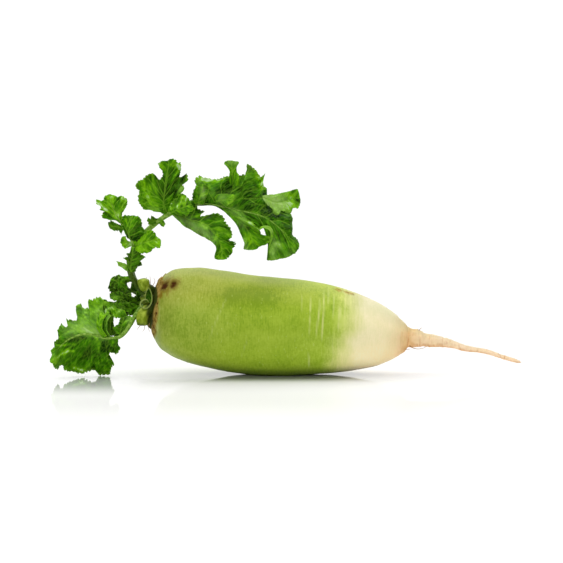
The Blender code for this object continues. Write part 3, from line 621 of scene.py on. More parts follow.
scar, pits, halo = np.zeros(x.shape), np.zeros(x.shape), np.zeros(x.shape)
for place, height, radius, depth in SCARS:
    on_the_back = mark_place(place - 1.0, height + 4.0) * (1.0, -1.0, 1.0)
    for middle in (mark_place(place, height), on_the_back):
        hole = spot(middle, radius)
        scar, pits = np.maximum(scar, hole), np.maximum(pits, depth * hole)
        halo = np.maximum(halo, 0.75 * spot(middle, 2.1 * radius, 0.5))
for place, height, radius, strength in STAINS:
    halo = np.maximum(halo, strength * spot(mark_place(place, height), radius, 0.6))
print(2 * len(SCARS), "scars and", len(STAINS), "stains")

# %% Cork, and the dark collar that is partly painted shade
# Place along the root, height and radius of the scabs
SCABS = ((53.0, 59.8, 3.0), (59.4, 58.0, 2.4), (62.6, 57.2, 2.8))
CORK_EDGE = -73.6
COLLAR_FROM, COLLAR_TO = -75.0, -76.4

edge = CORK_EDGE + 0.9 * rough(7.0, 47) + 0.9 * rough(2.4, 48)
edge = edge + 2.2 * smoothstep(30.0, 48.0, z) + 3.0 * smoothstep(55.0, 67.0, z)
edge = edge - 5.0 * smoothstep(31.0, 20.0, z)
cork = smoothstep(1.2, -1.2, x - edge)
pale_edge = 0.2 + 0.5 * rough(5.0, 57)
streak = np.maximum(streak, pale_edge * bell(x - edge - 1.0, 0.6) * smoothstep(58.0, 50.0, z))
for place, height, radius in SCABS:
    cork = np.maximum(cork, 0.8 * spot(mark_place(place, height), radius, 0.8))
# The dark collar at the crown end, partly painted shade between the stubs and the root
low = smoothstep(39.0, 31.0, z)
collar_place = x + 0.6 * rough(3.0, 53) + 2.2 * low - 3.8 * bell(z - 56.5, 7.5)
collar = 0.95 * smoothstep(COLLAR_FROM, COLLAR_TO, collar_place)
print("share of the points under cork:", round(float(cork.mean()), 3))

# %% Broad patches, and the border between green and cream
# Place along the root, height, radius and tone of each patch, lighter above 0. The three light patches at 68
# to 71 mm are a painted highlight along the top, and the dark patch at 8 mm is painted shade by the floor.
PATCHES = (
    (-4.0, 58.0, 13.0, -1.1), (-38.0, 58.0, 12.0, 0.5), (-64.0, 58.0, 9.0, 0.45),
    (-50.0, 30.0, 13.0, -0.4), (-61.0, 41.0, 13.0, -0.6), (-24.0, 34.0, 9.0, 0.2),
    (-22.0, 57.0, 11.5, -1.1), (-8.0, 68.5, 10.0, 1.1), (-24.0, 69.5, 10.0, 0.9), (-37.0, 71.0, 9.0, 0.6),
    (7.0, 57.0, 10.0, -0.55), (16.0, 40.0, 13.0, 0.3), (30.0, 54.0, 9.0, 0.5), (-2.0, 24.0, 10.0, 0.3),
    (6.0, 8.0, 13.0, -0.45), (6.0, 26.0, 8.0, 0.4), (22.0, 22.0, 12.0, 0.15), (53.6, 41.0, 5.5, 2.2),
    (34.0, 22.0, 9.0, 0.3), (48.7, 51.0, 1.4, -1.4), (48.7, 48.5, 1.4, -1.2),
)

tone = np.zeros(x.shape)
for place, height, radius, strength in PATCHES:
    distance = np.linalg.norm(root_points - mark_place(place, height), axis=-1)
    tone = tone + strength * bell(distance, radius)
border = x - 6.0 * smoothstep(26.0, 36.0, z) - 1.5 * smoothstep(46.0, 54.0, z)
border = border + 2.0 * smoothstep(24.0, 14.0, z)
border = border + 2.5 * rough(17.0, 55) + 1.5 * rough(7.0, 56)
print("tones from", tone.min().round(2), "to", tone.max().round(2))

# %% Relief and the finished root
# Place along the root and depth of the folds on the tail
FOLDS = (
    (97.0, 0.4), (102.2, 0.9), (110.3, 0.6), (119.0, 0.35), (128.0, 0.35), (135.5, 0.3), (143.0, 0.3),
    (167.0, 0.3),
)
FOLD_WIDTH = 0.7

tail = smoothstep(90.0, 104.0, x)
lumps = 0.45 * rough(30.0, 41) + 0.16 * rough(10.0, 42)
lumps = lumps + 0.7 * rough(7.0, 54) * smoothstep(100.0, 108.0, x)
crumbs = 0.5 * rough(2.6, 49) + 0.3 * rough(1.2, 50)
round_it = soft_noise(root_points * (1.0, 0.3, 0.3), 1.7, 51)
wrinkles = round_it + 0.6 * soft_noise(root_points * (0.2, 1.0, 1.0), 2.0, 52)
waver = 0.5 * rough(6.0, 58)
fold = sum(depth * bell(x - place - waver, FOLD_WIDTH) for place, depth in FOLDS)
thick, thin = (smoothstep(*ends, rings[:, 1])[:, None] for ends in ((2.5, 8.0), (0.3, 2.0)))
height = lumps * thick - 0.14 * streak - pits + (0.5 + 3.5 * smoothstep(60.0, 66.0, z)) * crumbs * cork
height = height - 0.6 * fold + 0.22 * wrinkles * tail * thin
# Painted shade: browner on the underside of the tail and on the low side of its folds
below = (z - centre[:, None, 2]) / np.maximum(rings[:, 1, None], 0.5) + 0.4 * rough(5.0, 59)
under = np.maximum(0.85 * smoothstep(-0.1, -1.0, below) * tail, fold * smoothstep(0.7, -0.4, below))
skin_points = root_points + height[..., None] * outward
skin_points[..., 2] = np.maximum(skin_points[..., 2], 0.0)
root_skin = tube_piece(
    "root_skin", skin_points, centre[[0, -1]], streak=streak, scar=scar, halo=halo, cork=cork,
    collar=collar, tone=tone, border=border, under=under, up=smoothstep(0.35, 1.0, outward[..., 2]),
)
finish_piece(root_skin, SKIN, "root")

# %% [markdown]
# ## Stalks
#
# A leaf stalk is a tube that tapers from the crown to the tip of its leaf. It is not round: blunt ribs
# run along it. A tube made by a curve's bevel would be round all along, so the ring is worked out here,
# and its radius wavers with the angle.

# %% A profile carried along a line
LINE_STEPS = 300
RIBS_ROUND = 5.0
# To the back, and turned a little so that no line of this model runs exactly that way
TOWARDS_BACK = (0.03, 1.0, 0.03)


@dataclass
class Stalk:
    """A stalk's line in millimetres, its radii along that line, and how far from the crown painted shade
    darkens it.
    """

    name: str
    line: tuple
    radii: tuple
    dark_to: float = 16.0


def carried(line, places, radii, sides, ribs=0.0):
    """Rings square to a line, at the given shares of it, with a pole at each end.

    A ring's radius is its own radius times 1 plus the ribs' height times the cosine of RIBS_ROUND turns.
    """
    share = np.linspace(0.0, 1.0, LINE_STEPS)
    dense = smooth_curve(line, share)
    centres = read_along(places, share, dense)
    along = unit(read_along(places, share, np.gradient(dense, axis=0)))
    across = unit(np.cross(along, TOWARDS_BACK))
    up = np.cross(across, along)
    turn = np.linspace(0.0, 2.0 * math.pi, sides, endpoint=False)
    ring = np.cos(turn)[None, :, None] * across[:, None] + np.sin(turn)[None, :, None] * up[:, None]
    radius = radii[:, None] * (1.0 + ribs * np.cos(RIBS_ROUND * turn))[None]
    return centres[:, None] + radius[..., None] * ring, centres[[0, -1]]


rod, rod_ends = carried(((0, 0, 0), (5, 0, 0), (10, 0, 0)), np.array([0.0, 1.0]), np.ones(2), 4)
print("a rod of four sides:", rod.shape, "from", rod_ends[0], "to", rod_ends[1])

# %% A stalk
STALK_SIDES = 20
STALK_RING_STEP = 0.6
FOOT_PLACE, FOOT_REACH, FOOT_SWELL = 10.0, 5.0, 0.35


def stalk_piece(stalk, node=None):
    """The stalk with ribs, small lumps, and a wider foot where it leaves the crown."""
    length = line_length(stalk.line)
    share = np.linspace(0.0, 1.0, int(length / STALK_RING_STEP))
    radii = smooth_curve(stalk.radii, share)
    radii = radii * (1.0 + FOOT_SWELL * bell(share * length - FOOT_PLACE, FOOT_REACH))
    rings, poles = carried(stalk.line, share, radii, STALK_SIDES, ribs=0.05)
    outward = unit(rings - rings.mean(axis=1, keepdims=True))
    lumps = 0.12 * soft_noise(rings, 3.0, 61) * smoothstep(0.4, 1.5, radii)[:, None]
    rings = rings + lumps[..., None] * outward
    # Painted shade, dark at the crown and fading out before dark_to
    dry = 0.8 * smoothstep(stalk.dark_to, 0.4 * stalk.dark_to, share * length)
    dry = np.broadcast_to(dry[:, None], rings.shape[:2])
    return finish_piece(tube_piece(stalk.name, rings, poles, dry=dry), STALK, node)


print("rings of a 100 mm stalk:", int(100 / STALK_RING_STEP))

# %% [markdown]
# ## Lobes
#
# A radish leaf is a row of lobes on one stalk. Each lobe is a sheet that reaches from its midrib out to
# two ragged margins. Cutting the outline from a flat plane would give a paper leaf, and a cloth
# simulation would lose the outline. So the sheet is one function of two numbers: how far along the
# midrib a point is, and how far out from it. The same function arches the sheet, ruffles its margin,
# puckers it between the veins and thins it towards the rim.

# %% What a lobe is


@dataclass
class Lobe:
    """A lobe's midrib and two margins in millimetres, its waves, the way it faces, and its finish.

    The lines are veins read from the photo, as (x, z) points, and the strokes are those of brushed: painted
    shade, highlight and sheen.
    """

    name: str
    rib: tuple
    left: tuple
    right: tuple
    waves: float
    seed: int
    face: tuple = (0.0, -1.0, 0.2)
    ruffle: float = 1.3
    veins: int = 5
    pucker: float = 0.7
    fold_shade: float = 0.38
    clear: float = 1.0
    midrib: float = 1.0
    # How much darker or lighter the whole lobe is painted, partly as painted shade and painted light
    tone: float = 0.0
    teeth: tuple = (1.0, 1.0)
    lines: tuple = ()
    strokes: tuple = ()


# How far a lobe arches, how high its waves are, and how far they are shifted from half to half
ARCH, WAVE_HEIGHT, LEAD = 0.06, 0.6, 0.2
# How high the crumples are, and the width of lobe below which waves, crumples and bulges get smaller
RIPPLE, WIDE_LOBE = 2.2, 9.0
# How far the side veins sweep, how much noise is drawn out along them, and what sets the halves apart in it
SWEEP, DRAWN_OUT, APART = 0.7, 0.3, 40.0
# Steps of the grid, and its fewest and most rows and columns
ROW_STEP, COLUMN_STEP = 0.42, 0.5
ROW_LIMITS, COLUMN_LIMITS = (30, 400), (6, 52)
# Length and height of the scallops on a margin, and how much of it the finer ones have
TOOTH_STEP, TOOTH_HEIGHT, FINE_TOOTH = 2.8, 1.0, 0.5
# Widths of the veins, of the strip by a vein where the sheet rises to its bulge, and depth of the groove
MIDRIB_WIDTH, VEIN_WIDTH, BULGE_WIDTH, VEIN_GROOVE = 0.5, 0.28, 2.0, 0.35
# The painted fold shade of a crumpled lobe: how strongly painted shade and light follow its folds
CRUMPLED_FOLD_SHADE = 1.15
THICK_AT_RIB, THICK_AT_RIM = 0.55, 0.36
LOWEST = 0.05
print("rows of a 100 mm margin:", int(100 / ROW_STEP))

# %% Veins of a lobe
# Strength and width of a side vein and of its branches, and the reach and side where each branch leaves
SIDE_VEIN, BRANCH_VEIN = (0.8, 0.36), (0.45, 0.28)
BRANCHES = ((0.22, 1.0), (0.4, -1.0), (0.58, 1.0), (0.74, -1.0))
BRANCH_REACH = 0.42


def side_veins(lobe, side):
    """Each vein as (start, lean, first reach, last reach, strength, width in mm).

    A vein is the line of shares start + lean x reach^1.3. Branches leave the side veins on both sides.
    """
    random = np.random.default_rng(100 * lobe.seed + side)
    gap = 0.94 / max(lobe.veins, 1)
    starts = (np.arange(lobe.veins) + random.uniform(0.15, 0.6, lobe.veins)) * gap
    lean = 0.55 * gap
    found = [(start, lean, 0.0, 1.0, *SIDE_VEIN) for start in starts]
    for start in starts:
        for reach, turned in BRANCHES:
            reach = reach + random.uniform(-0.06, 0.06)
            tilt = turned * random.uniform(0.9, 1.5) * gap
            branch = start + lean * reach**1.3 - tilt * reach**1.3
            found.append((branch, lean + tilt, reach, min(1.0, reach + BRANCH_REACH), *BRANCH_VEIN))
    return found


def line_distance(points, line):
    """How far each point is from a line of (x, z) points, as seen from the front."""
    flat = points[..., [0, 2]]
    line = np.asarray(line, float)
    nearest = np.linalg.norm(flat - line[0], axis=-1)
    for start, end in zip(line[:-1], line[1:]):
        step = end - start
        share = np.clip((flat - start) @ step / (step @ step), 0.0, 1.0)
        nearest = np.minimum(nearest, np.linalg.norm(flat - start - share[..., None] * step, axis=-1))
    return nearest


def vein_layer(half, share, out, lobe, side):
    """How strongly a vein shows at each point, from 0 to 1, and how far off the nearest one is.

    Veins read from the photo are lines, and the others are lines of shares. The distance to one of
    these is the step in share to it, times the part of that step that is square to the vein. A vein
    fades as e to the minus distance over width, squared.
    """
    by_share = np.gradient(half, share[:, 0], axis=0)
    by_out = np.gradient(half, out[0], axis=1)
    nearest = np.linalg.norm(half - half[:, :1], axis=-1)
    vein = lobe.midrib * bell(nearest, MIDRIB_WIDTH)
    for line in lobe.lines:
        distance = line_distance(half, line)
        vein = np.maximum(vein, lobe.clear * bell(distance, VEIN_WIDTH))
        nearest = np.minimum(nearest, distance)
    for start, lean, first, last, strength, width in side_veins(lobe, side):
        slope = 1.3 * lean * np.maximum(out, 1e-6) ** 0.3
        course = unit(by_out + slope[..., None] * by_share)
        square = np.linalg.norm(np.cross(by_share, course), axis=-1)
        distance = np.abs(share - start - lean * out**1.3) * square
        inside = (out >= first) & (out <= last)
        fade = strength * (1.0 - 0.6 * (out - first) / (last - first))
        vein = np.maximum(vein, np.where(inside, fade * bell(distance, width), 0.0))
        nearest = np.minimum(nearest, np.where(inside, distance + 1.2 * (1.0 - strength), 9.0))
    return vein, nearest


print("lines of one side vein with its branches:", 1 + len(BRANCHES))

# %% Margin and sheet of a lobe


def toothed(margin, share, rib, strength, seed):
    """The margin's curve in uneven scallops with finer ones on them, each the size of a sine to a power."""
    edge = smooth_curve(margin, share)
    walked = np.append(0.0, np.cumsum(np.linalg.norm(np.diff(edge, axis=0), axis=1)))
    phase = walked / TOOTH_STEP + 0.9 * soft_noise(edge, 6.0, seed)
    tooth = np.abs(np.sin(math.pi * phase)) ** 0.6 - 0.7
    tooth = tooth + FINE_TOOTH * (np.abs(np.sin(2.3 * math.pi * phase)) ** 0.7 - 0.65)
    width = np.linalg.norm(edge - rib, axis=1)
    height = strength * TOOTH_HEIGHT * smoothstep(1.0, 4.0, width)
    height = height * (1.0 + 0.8 * soft_noise(edge, 4.0, seed + 1))
    return edge + (height * tooth)[:, None] * unit(edge - rib)


def lobe_half(lobe, side, margin, share, out):
    """One half of a lobe as points, with its layers. Two layers count millimetres across the side veins
    and along them, for the fine veins in the leaf's finish.

    Points run straight out from the midrib to the toothed margin. Then they move along the lobe's facing
    by an arch, by waves that grow outwards, by crumples, and by a bulge between the veins.
    """
    rib = smooth_curve(lobe.rib, share[:, 0])
    along = unit(np.gradient(rib, axis=0))
    face = unit(np.asarray(lobe.face, float))
    normal = unit(face - (along @ face)[:, None] * along)[:, None]
    edge = toothed(margin, share[:, 0], rib, lobe.teeth[side > 0], 10 * lobe.seed + side)
    reach = (edge - rib)[:, None]
    width = np.linalg.norm(reach, axis=-1)
    half = rib[:, None] + out[..., None] * reach
    size = np.minimum(1.0, width / WIDE_LOBE)
    arch = ARCH * width * 4.0 * out * (1.0 - out)
    wave = np.sin(2.0 * math.pi * (lobe.waves * share + LEAD * side)) * out**1.5
    across = share * line_length(rib) - SWEEP * out * width + APART * side
    course = np.stack([across, DRAWN_OUT * out * width, np.full(half.shape[:2], 9.0 * lobe.seed)], axis=-1)
    fine = soft_noise(course, 4.0, 7 * lobe.seed + 1) + 0.5 * soft_noise(half, 2.4, 7 * lobe.seed + 2)
    ripple = (1.5 * soft_noise(half, 9.0, 7 * lobe.seed) + fine) * out
    vein, nearest = vein_layer(half, share, out, lobe, side)
    bulge = 1.0 - bell(nearest, BULGE_WIDTH) - VEIN_GROOVE * vein
    height = arch + size * (WAVE_HEIGHT * lobe.ruffle * wave + RIPPLE * ripple + lobe.pucker * bulge)
    half = half + height[..., None] * normal
    # Painted shade and light: lighter on the crests, darker in the folds and in the grooves beside the veins
    shade = lobe.fold_shade * (fine - 0.3 * bell(nearest - 0.9, 0.6))
    return half, np.broadcast_to(normal, half.shape), vein, shade, across, out * width


def brushed(points, strokes, part):
    """The sum of soft strokes of painted shade, highlight and sheen. Each is (width, tone, pale, line), and
    part is 1 for tone or 2 for pale.
    """
    total = np.zeros(points.shape[:-1])
    for stroke in strokes:
        total += stroke[part] * bell(line_distance(points, stroke[3]), stroke[0])
    return total


def lobe_piece(lobe, node=None):
    """The two halves as one sheet, with a thickness that falls from the midrib to the rim."""
    longest = max(line_length(line) for line in (lobe.rib, lobe.left, lobe.right))
    stops = np.linspace(0.0, 1.0, 40)
    middle = smooth_curve(lobe.rib, stops)
    reaches = [smooth_curve(margin, stops) - middle for margin in (lobe.left, lobe.right)]
    widest = np.linalg.norm(reaches, axis=-1).max()
    rows = int(np.clip(longest / ROW_STEP, *ROW_LIMITS))
    columns = int(np.clip(widest / COLUMN_STEP, *COLUMN_LIMITS))
    share, out = np.meshgrid(np.linspace(0.0, 1.0, rows), np.linspace(0.0, 1.0, columns), indexing="ij")
    left = lobe_half(lobe, -1, lobe.left, share, out)
    right = lobe_half(lobe, 1, lobe.right, share, out)
    joined = (np.concatenate([a[:, :0:-1], b], axis=1) for a, b in zip(left, right))
    sheet, normal, vein, shade, across, reach = joined
    out = np.concatenate([out[:, :0:-1], out], axis=1)
    thick = THICK_AT_RIB + (THICK_AT_RIM - THICK_AT_RIB) * out
    step = 0.5 * thick[..., None] * normal
    points = np.stack([sheet + step, sheet - step])
    points[..., 2] = np.maximum(points[..., 2], LOWEST)
    ends = smoothstep(0.0, 0.02, share[:, :1]) * smoothstep(1.0, 0.98, share[:, :1])
    rim = np.maximum(smoothstep(0.9, 1.0, out), 1.0 - ends)
    # Strokes paint shade, highlights and sheen into the tone and pale layers
    pale_and_sheen = np.clip(brushed(sheet, lobe.strokes, 2), 0.0, 1.0)
    layers = {
        "tone": np.stack([lobe.tone + shade + brushed(sheet, lobe.strokes, 1)] * 2),
        "vein": np.stack([vein, 0.9 * vein]),
        "pale_and_sheen": np.stack([pale_and_sheen, np.maximum(pale_and_sheen, 0.85)]),
        "rim": np.stack([rim, rim]),
        "across": np.stack([across + 100.0 * lobe.seed] * 2),
        "reach": np.stack([reach] * 2),
    }
    piece = closed_mesh(lobe.name, points, sheet_faces(*out.shape), **layers)
    return finish_piece(piece, LEAF, node)


print("a blade is", THICK_AT_RIB, "mm thick at its midrib and", THICK_AT_RIM, "mm at its rim")

# %% [markdown]
# ### The long arching leaf
#
# The longest leaf rises from the crown, bends over and hangs to the right. A fan of a lobe stands on the
# bend, another droops in front of it, and the end blade is the largest. A flap of that blade folds up
# and shows its pale underside.

# %% The long arching leaf's stalk
ARCHING_STALK = Stalk(
    "arching_stalk",
    line=((-69, 10, 50.5), (-78.5, 10, 53), (-85.5, 9, 60), (-91, 6.5, 69), (-91, 4, 81.5), (-87, 2, 92.5),
          (-79, 1, 102), (-70.5, 0, 109), (-62, 0, 114), (-53, 0, 118), (-46.5, 0, 119.5), (-41, 0, 119.5),
          (-35, -1, 119.5), (-28.5, -3, 118), (-23, -5, 117), (-16.5, -6.5, 115.5), (-10.5, -8, 114.5),
          (-4, -9, 113), (3, -10, 110.5), (10, -10, 105.5), (16, -10, 99.5)),
    radii=(2.7, 2.1, 1.9, 1.6, 1.0, 0.6, 0.35, 0.2),
    dark_to=44.0,
)
stalk_piece(ARCHING_STALK, "leaf_arching")

# %% The upright fan over the stalk's bend
lobe_piece(Lobe(
    "arching_fan", seed=1, waves=9.0, face=(0.0, -1.0, 0.1), veins=0,
    rib=((-64, 0, 112.5), (-66.5, 0, 114), (-67.5, -0.5, 117), (-68.5, -1, 120.5), (-68.5, -1, 124),
         (-68, -1, 128), (-67.5, 0, 133.5), (-66, 1, 141.5), (-65, 2, 147), (-65, 2, 150.5)),
    left=((-69, 0, 111.5), (-71, -2, 114.5), (-74.5, -4, 114.5), (-78, -5, 116), (-81.5, -6, 116.5),
          (-84, -7, 119), (-85.5, -7, 121.5), (-86, -7, 125), (-85, -7, 129), (-87.5, -7, 132),
          (-86, -6, 136), (-82.5, -4, 137.5), (-80, -3, 140), (-76.5, -2, 140.5), (-74, -1, 139.5),
          (-73, 0, 136.5), (-70.5, 1, 137.5), (-69, 1, 140.5), (-70, 0, 143.5), (-72, -1, 146.5),
          (-71.5, -1, 148.5), (-69, -1, 150), (-66, 1, 149.5)),
    right=((-61.5, 1, 113), (-58.5, 2, 117), (-57.5, 3, 121.5), (-56.5, 4, 125), (-57.5, 5, 128.5),
           (-55, 5, 129), (-54.5, 6, 131.5), (-56, 6.5, 133), (-52, 8, 135.5), (-52, 8, 138.5),
           (-53, 8, 140.5), (-56, 6, 138), (-57.5, 5, 138.5), (-57, 6, 142), (-56.5, 7, 145), (-57, 8, 148),
           (-59, 7, 148), (-60, 6, 150), (-62, 4, 151), (-64.5, 3, 151)),
    lines=(((-68.5, 115.5), (-69, 120.5), (-68, 125.5), (-67, 131), (-66, 138), (-65.5, 145)),
           ((-69, 119), (-73, 120.5), (-78, 122.5), (-83.5, 125.5)),
           ((-68.5, 121), (-72.5, 124.5), (-78, 129), (-83, 131.5)),
           ((-68.5, 124), (-72.5, 129.5), (-76.5, 134.5), (-79.5, 138)),
           ((-69, 117.5), (-74, 117), (-79.5, 117.5)), ((-68.5, 125.5), (-71, 131), (-73, 136)),
           ((-67.5, 125.5), (-64, 130.5), (-62, 134.5), (-58.5, 138)),
           ((-67.5, 122.5), (-63.5, 125.5), (-60, 129.5), (-56.5, 133)),
           ((-68.5, 119), (-64, 121), (-60.5, 122.5)), ((-67, 132.5), (-69.5, 136.5), (-71, 140.5)),
           ((-66, 138), (-62.5, 142), (-60, 145)), ((-78, 122.5), (-81, 121), (-83.5, 120.5)),
           ((-78, 129), (-81.5, 128), (-84.5, 127.5)), ((-72.5, 124.5), (-76.5, 125.5), (-80, 126))),
    strokes=((5.6, 0.55, 0, ((-81, 128), (-78.5, 122.5))), (3.5, 0.25, 0, ((-82, 134.5), (-78, 136))),
             (3.5, -0.35, 0, ((-76.5, 137),)), (3.5, -0.5, 0, ((-69, 123.5), (-67.5, 132.5))),
             (3.5, -0.6, 0, ((-63.5, 128), (-60.5, 134.5), (-57, 137))),
             (2.8, -0.5, 0, ((-54.5, 138), (-52, 140))), (1.8, 1.5, 0, ((-59, 146.5), (-56.5, 144))),
             (2.8, 0.35, 0, ((-69.5, 147.5), (-66.5, 148.5))),
             (2.1, 0.3, 0.45, ((-55.5, 131.5), (-57, 129))), (2.8, -0.3, 0, ((-64, 143.5), (-65.5, 139.5))),
             (2.1, 0.3, 0.2, ((-78, 117), (-73, 115.5)))),
))

# %% The lobe that droops in front of the bend
lobe_piece(Lobe(
    "arching_drooping_lobe", seed=2, waves=10.0, face=(0.1, -1.0, 0.1), tone=-0.05, veins=0,
    teeth=(1.2, 0.15), midrib=0.7,
    rib=((-63.5, -3, 113.5), (-56.5, -5, 111.5), (-49, -8, 108.5), (-41.5, -10, 106), (-35, -13, 102),
         (-30.5, -15, 96.5), (-27.5, -16, 90), (-28, -16, 82)),
    left=((-64, -3, 115.5), (-62.5, -4, 120), (-59, -4, 124), (-56.5, -2, 127), (-53, -1, 125.5),
          (-50, -1, 122.5), (-46, -1, 121), (-44.5, -2, 116.5), (-40.5, -3, 115), (-42.5, -5, 111.5),
          (-37.5, -5, 112.5), (-33, -6, 113.5), (-29, -8, 113), (-26.5, -9, 111), (-26, -10, 109),
          (-24, -11, 106), (-21.5, -12, 103), (-20.5, -13, 99), (-21.5, -13.5, 96.5), (-23, -14, 95.5),
          (-20.5, -14, 94.5), (-18.5, -14, 94), (-18.5, -14, 92), (-20.5, -15, 89), (-21.5, -15, 85.5),
          (-24, -16, 83), (-26, -16, 82)),
    right=((-63.5, -1, 113), (-60, -4, 110), (-57, -7, 107.5), (-53.5, -10, 104.5), (-49, -13, 102.5),
           (-44, -15, 99.5), (-39, -17, 97), (-36, -18, 95), (-33, -19, 93), (-31.5, -19, 90),
           (-32.5, -18, 86), (-32.5, -17, 83), (-30.5, -16, 82)),
    lines=(((-62, 114.5), (-56, 111), (-49.5, 109), (-43, 108), (-37.5, 105.5), (-33, 101), (-29.5, 95),
             (-27.5, 88.5), (-27.5, 84.5)), ((-56, 111), (-54, 116.5), (-52.5, 121)),
           ((-49.5, 109), (-47, 114.5), (-46, 118.5)), ((-37.5, 105.5), (-33, 108), (-28, 108.5)),
           ((-35, 103), (-29.5, 104), (-25, 103)), ((-32.5, 99.5), (-27.5, 100.5), (-22.5, 99)),
           ((-29.5, 95), (-25.5, 95), (-21.5, 93)), ((-28.5, 90.5), (-24, 89.5), (-22, 87)),
           ((-56, 111), (-59.5, 116.5), (-60, 120)), ((-31, 97), (-34, 95)), ((-27.5, 88.5), (-31, 86.5)),
           ((-43, 108), (-39.5, 111.5), (-36.5, 113))),
    strokes=((3.5, -0.5, 0.35, ((-59.5, 112), (-52.5, 108.5), (-45.5, 104), (-38.5, 99), (-34.5, 95.5))),
             (3.5, 0.35, 0, ((-58, 119), (-54, 116.5))),
             (2.8, -0.65, 0, ((-45, 110), (-40, 109.5), (-36, 112))),
             (3.5, 0.15, 0, ((-33, 105.5), (-27.5, 100.5))), (1.8, 1.1, 0.2, ((-41.5, 106), (-38.5, 104.5))),
             (1.3, 0.8, 0, ((-33, 96), (-31, 98.5), (-31, 100.5))),
             (1.4, 0.9, 0, ((-50.5, 120), (-49.5, 118))), (1.5, 0.9, 0, ((-40.5, 111.5), (-45, 111.5))),
             (4.9, 0.4, 0, ((-25.5, 91.5), (-27.5, 86))), (2.8, -0.3, 0, ((-52.5, 124), (-49.5, 121))),
             (2.8, -0.3, 0, ((-45.5, 118), (-43, 115))), (2.1, -0.4, 0, ((-23.5, 95.5), (-26, 95.5)))),
))

# %% A bright crumple over the bend, in front of the stalk
lobe_piece(Lobe(
    "arching_bend_curl", seed=19, waves=4.0, face=(0.0, -1.0, 0.3), tone=0.2, ruffle=2.0, veins=3,
    pucker=1.0, fold_shade=CRUMPLED_FOLD_SHADE,
    rib=((-63.5, -4, 113.5), (-59, -7, 116), (-54, -8, 118), (-49, -7, 120)),
    left=((-64.5, -4, 116), (-63, -4, 120), (-60.5, -4, 123), (-57, -4, 126), (-54, -4, 126),
          (-50.5, -5, 123)),
    right=((-62.5, -5, 112.5), (-57.5, -8, 111.5), (-52.5, -9, 111), (-50, -9, 114), (-46.5, -8, 116.5)),
    strokes=((2.1, 0.5, 0.1, ((-63, 119.5), (-60.5, 119))), (2.1, 0.6, 0.1, ((-56, 121.5), (-54, 122.5))),
             (2.1, -0.3, 0, ((-59.5, 122.5),))),
))

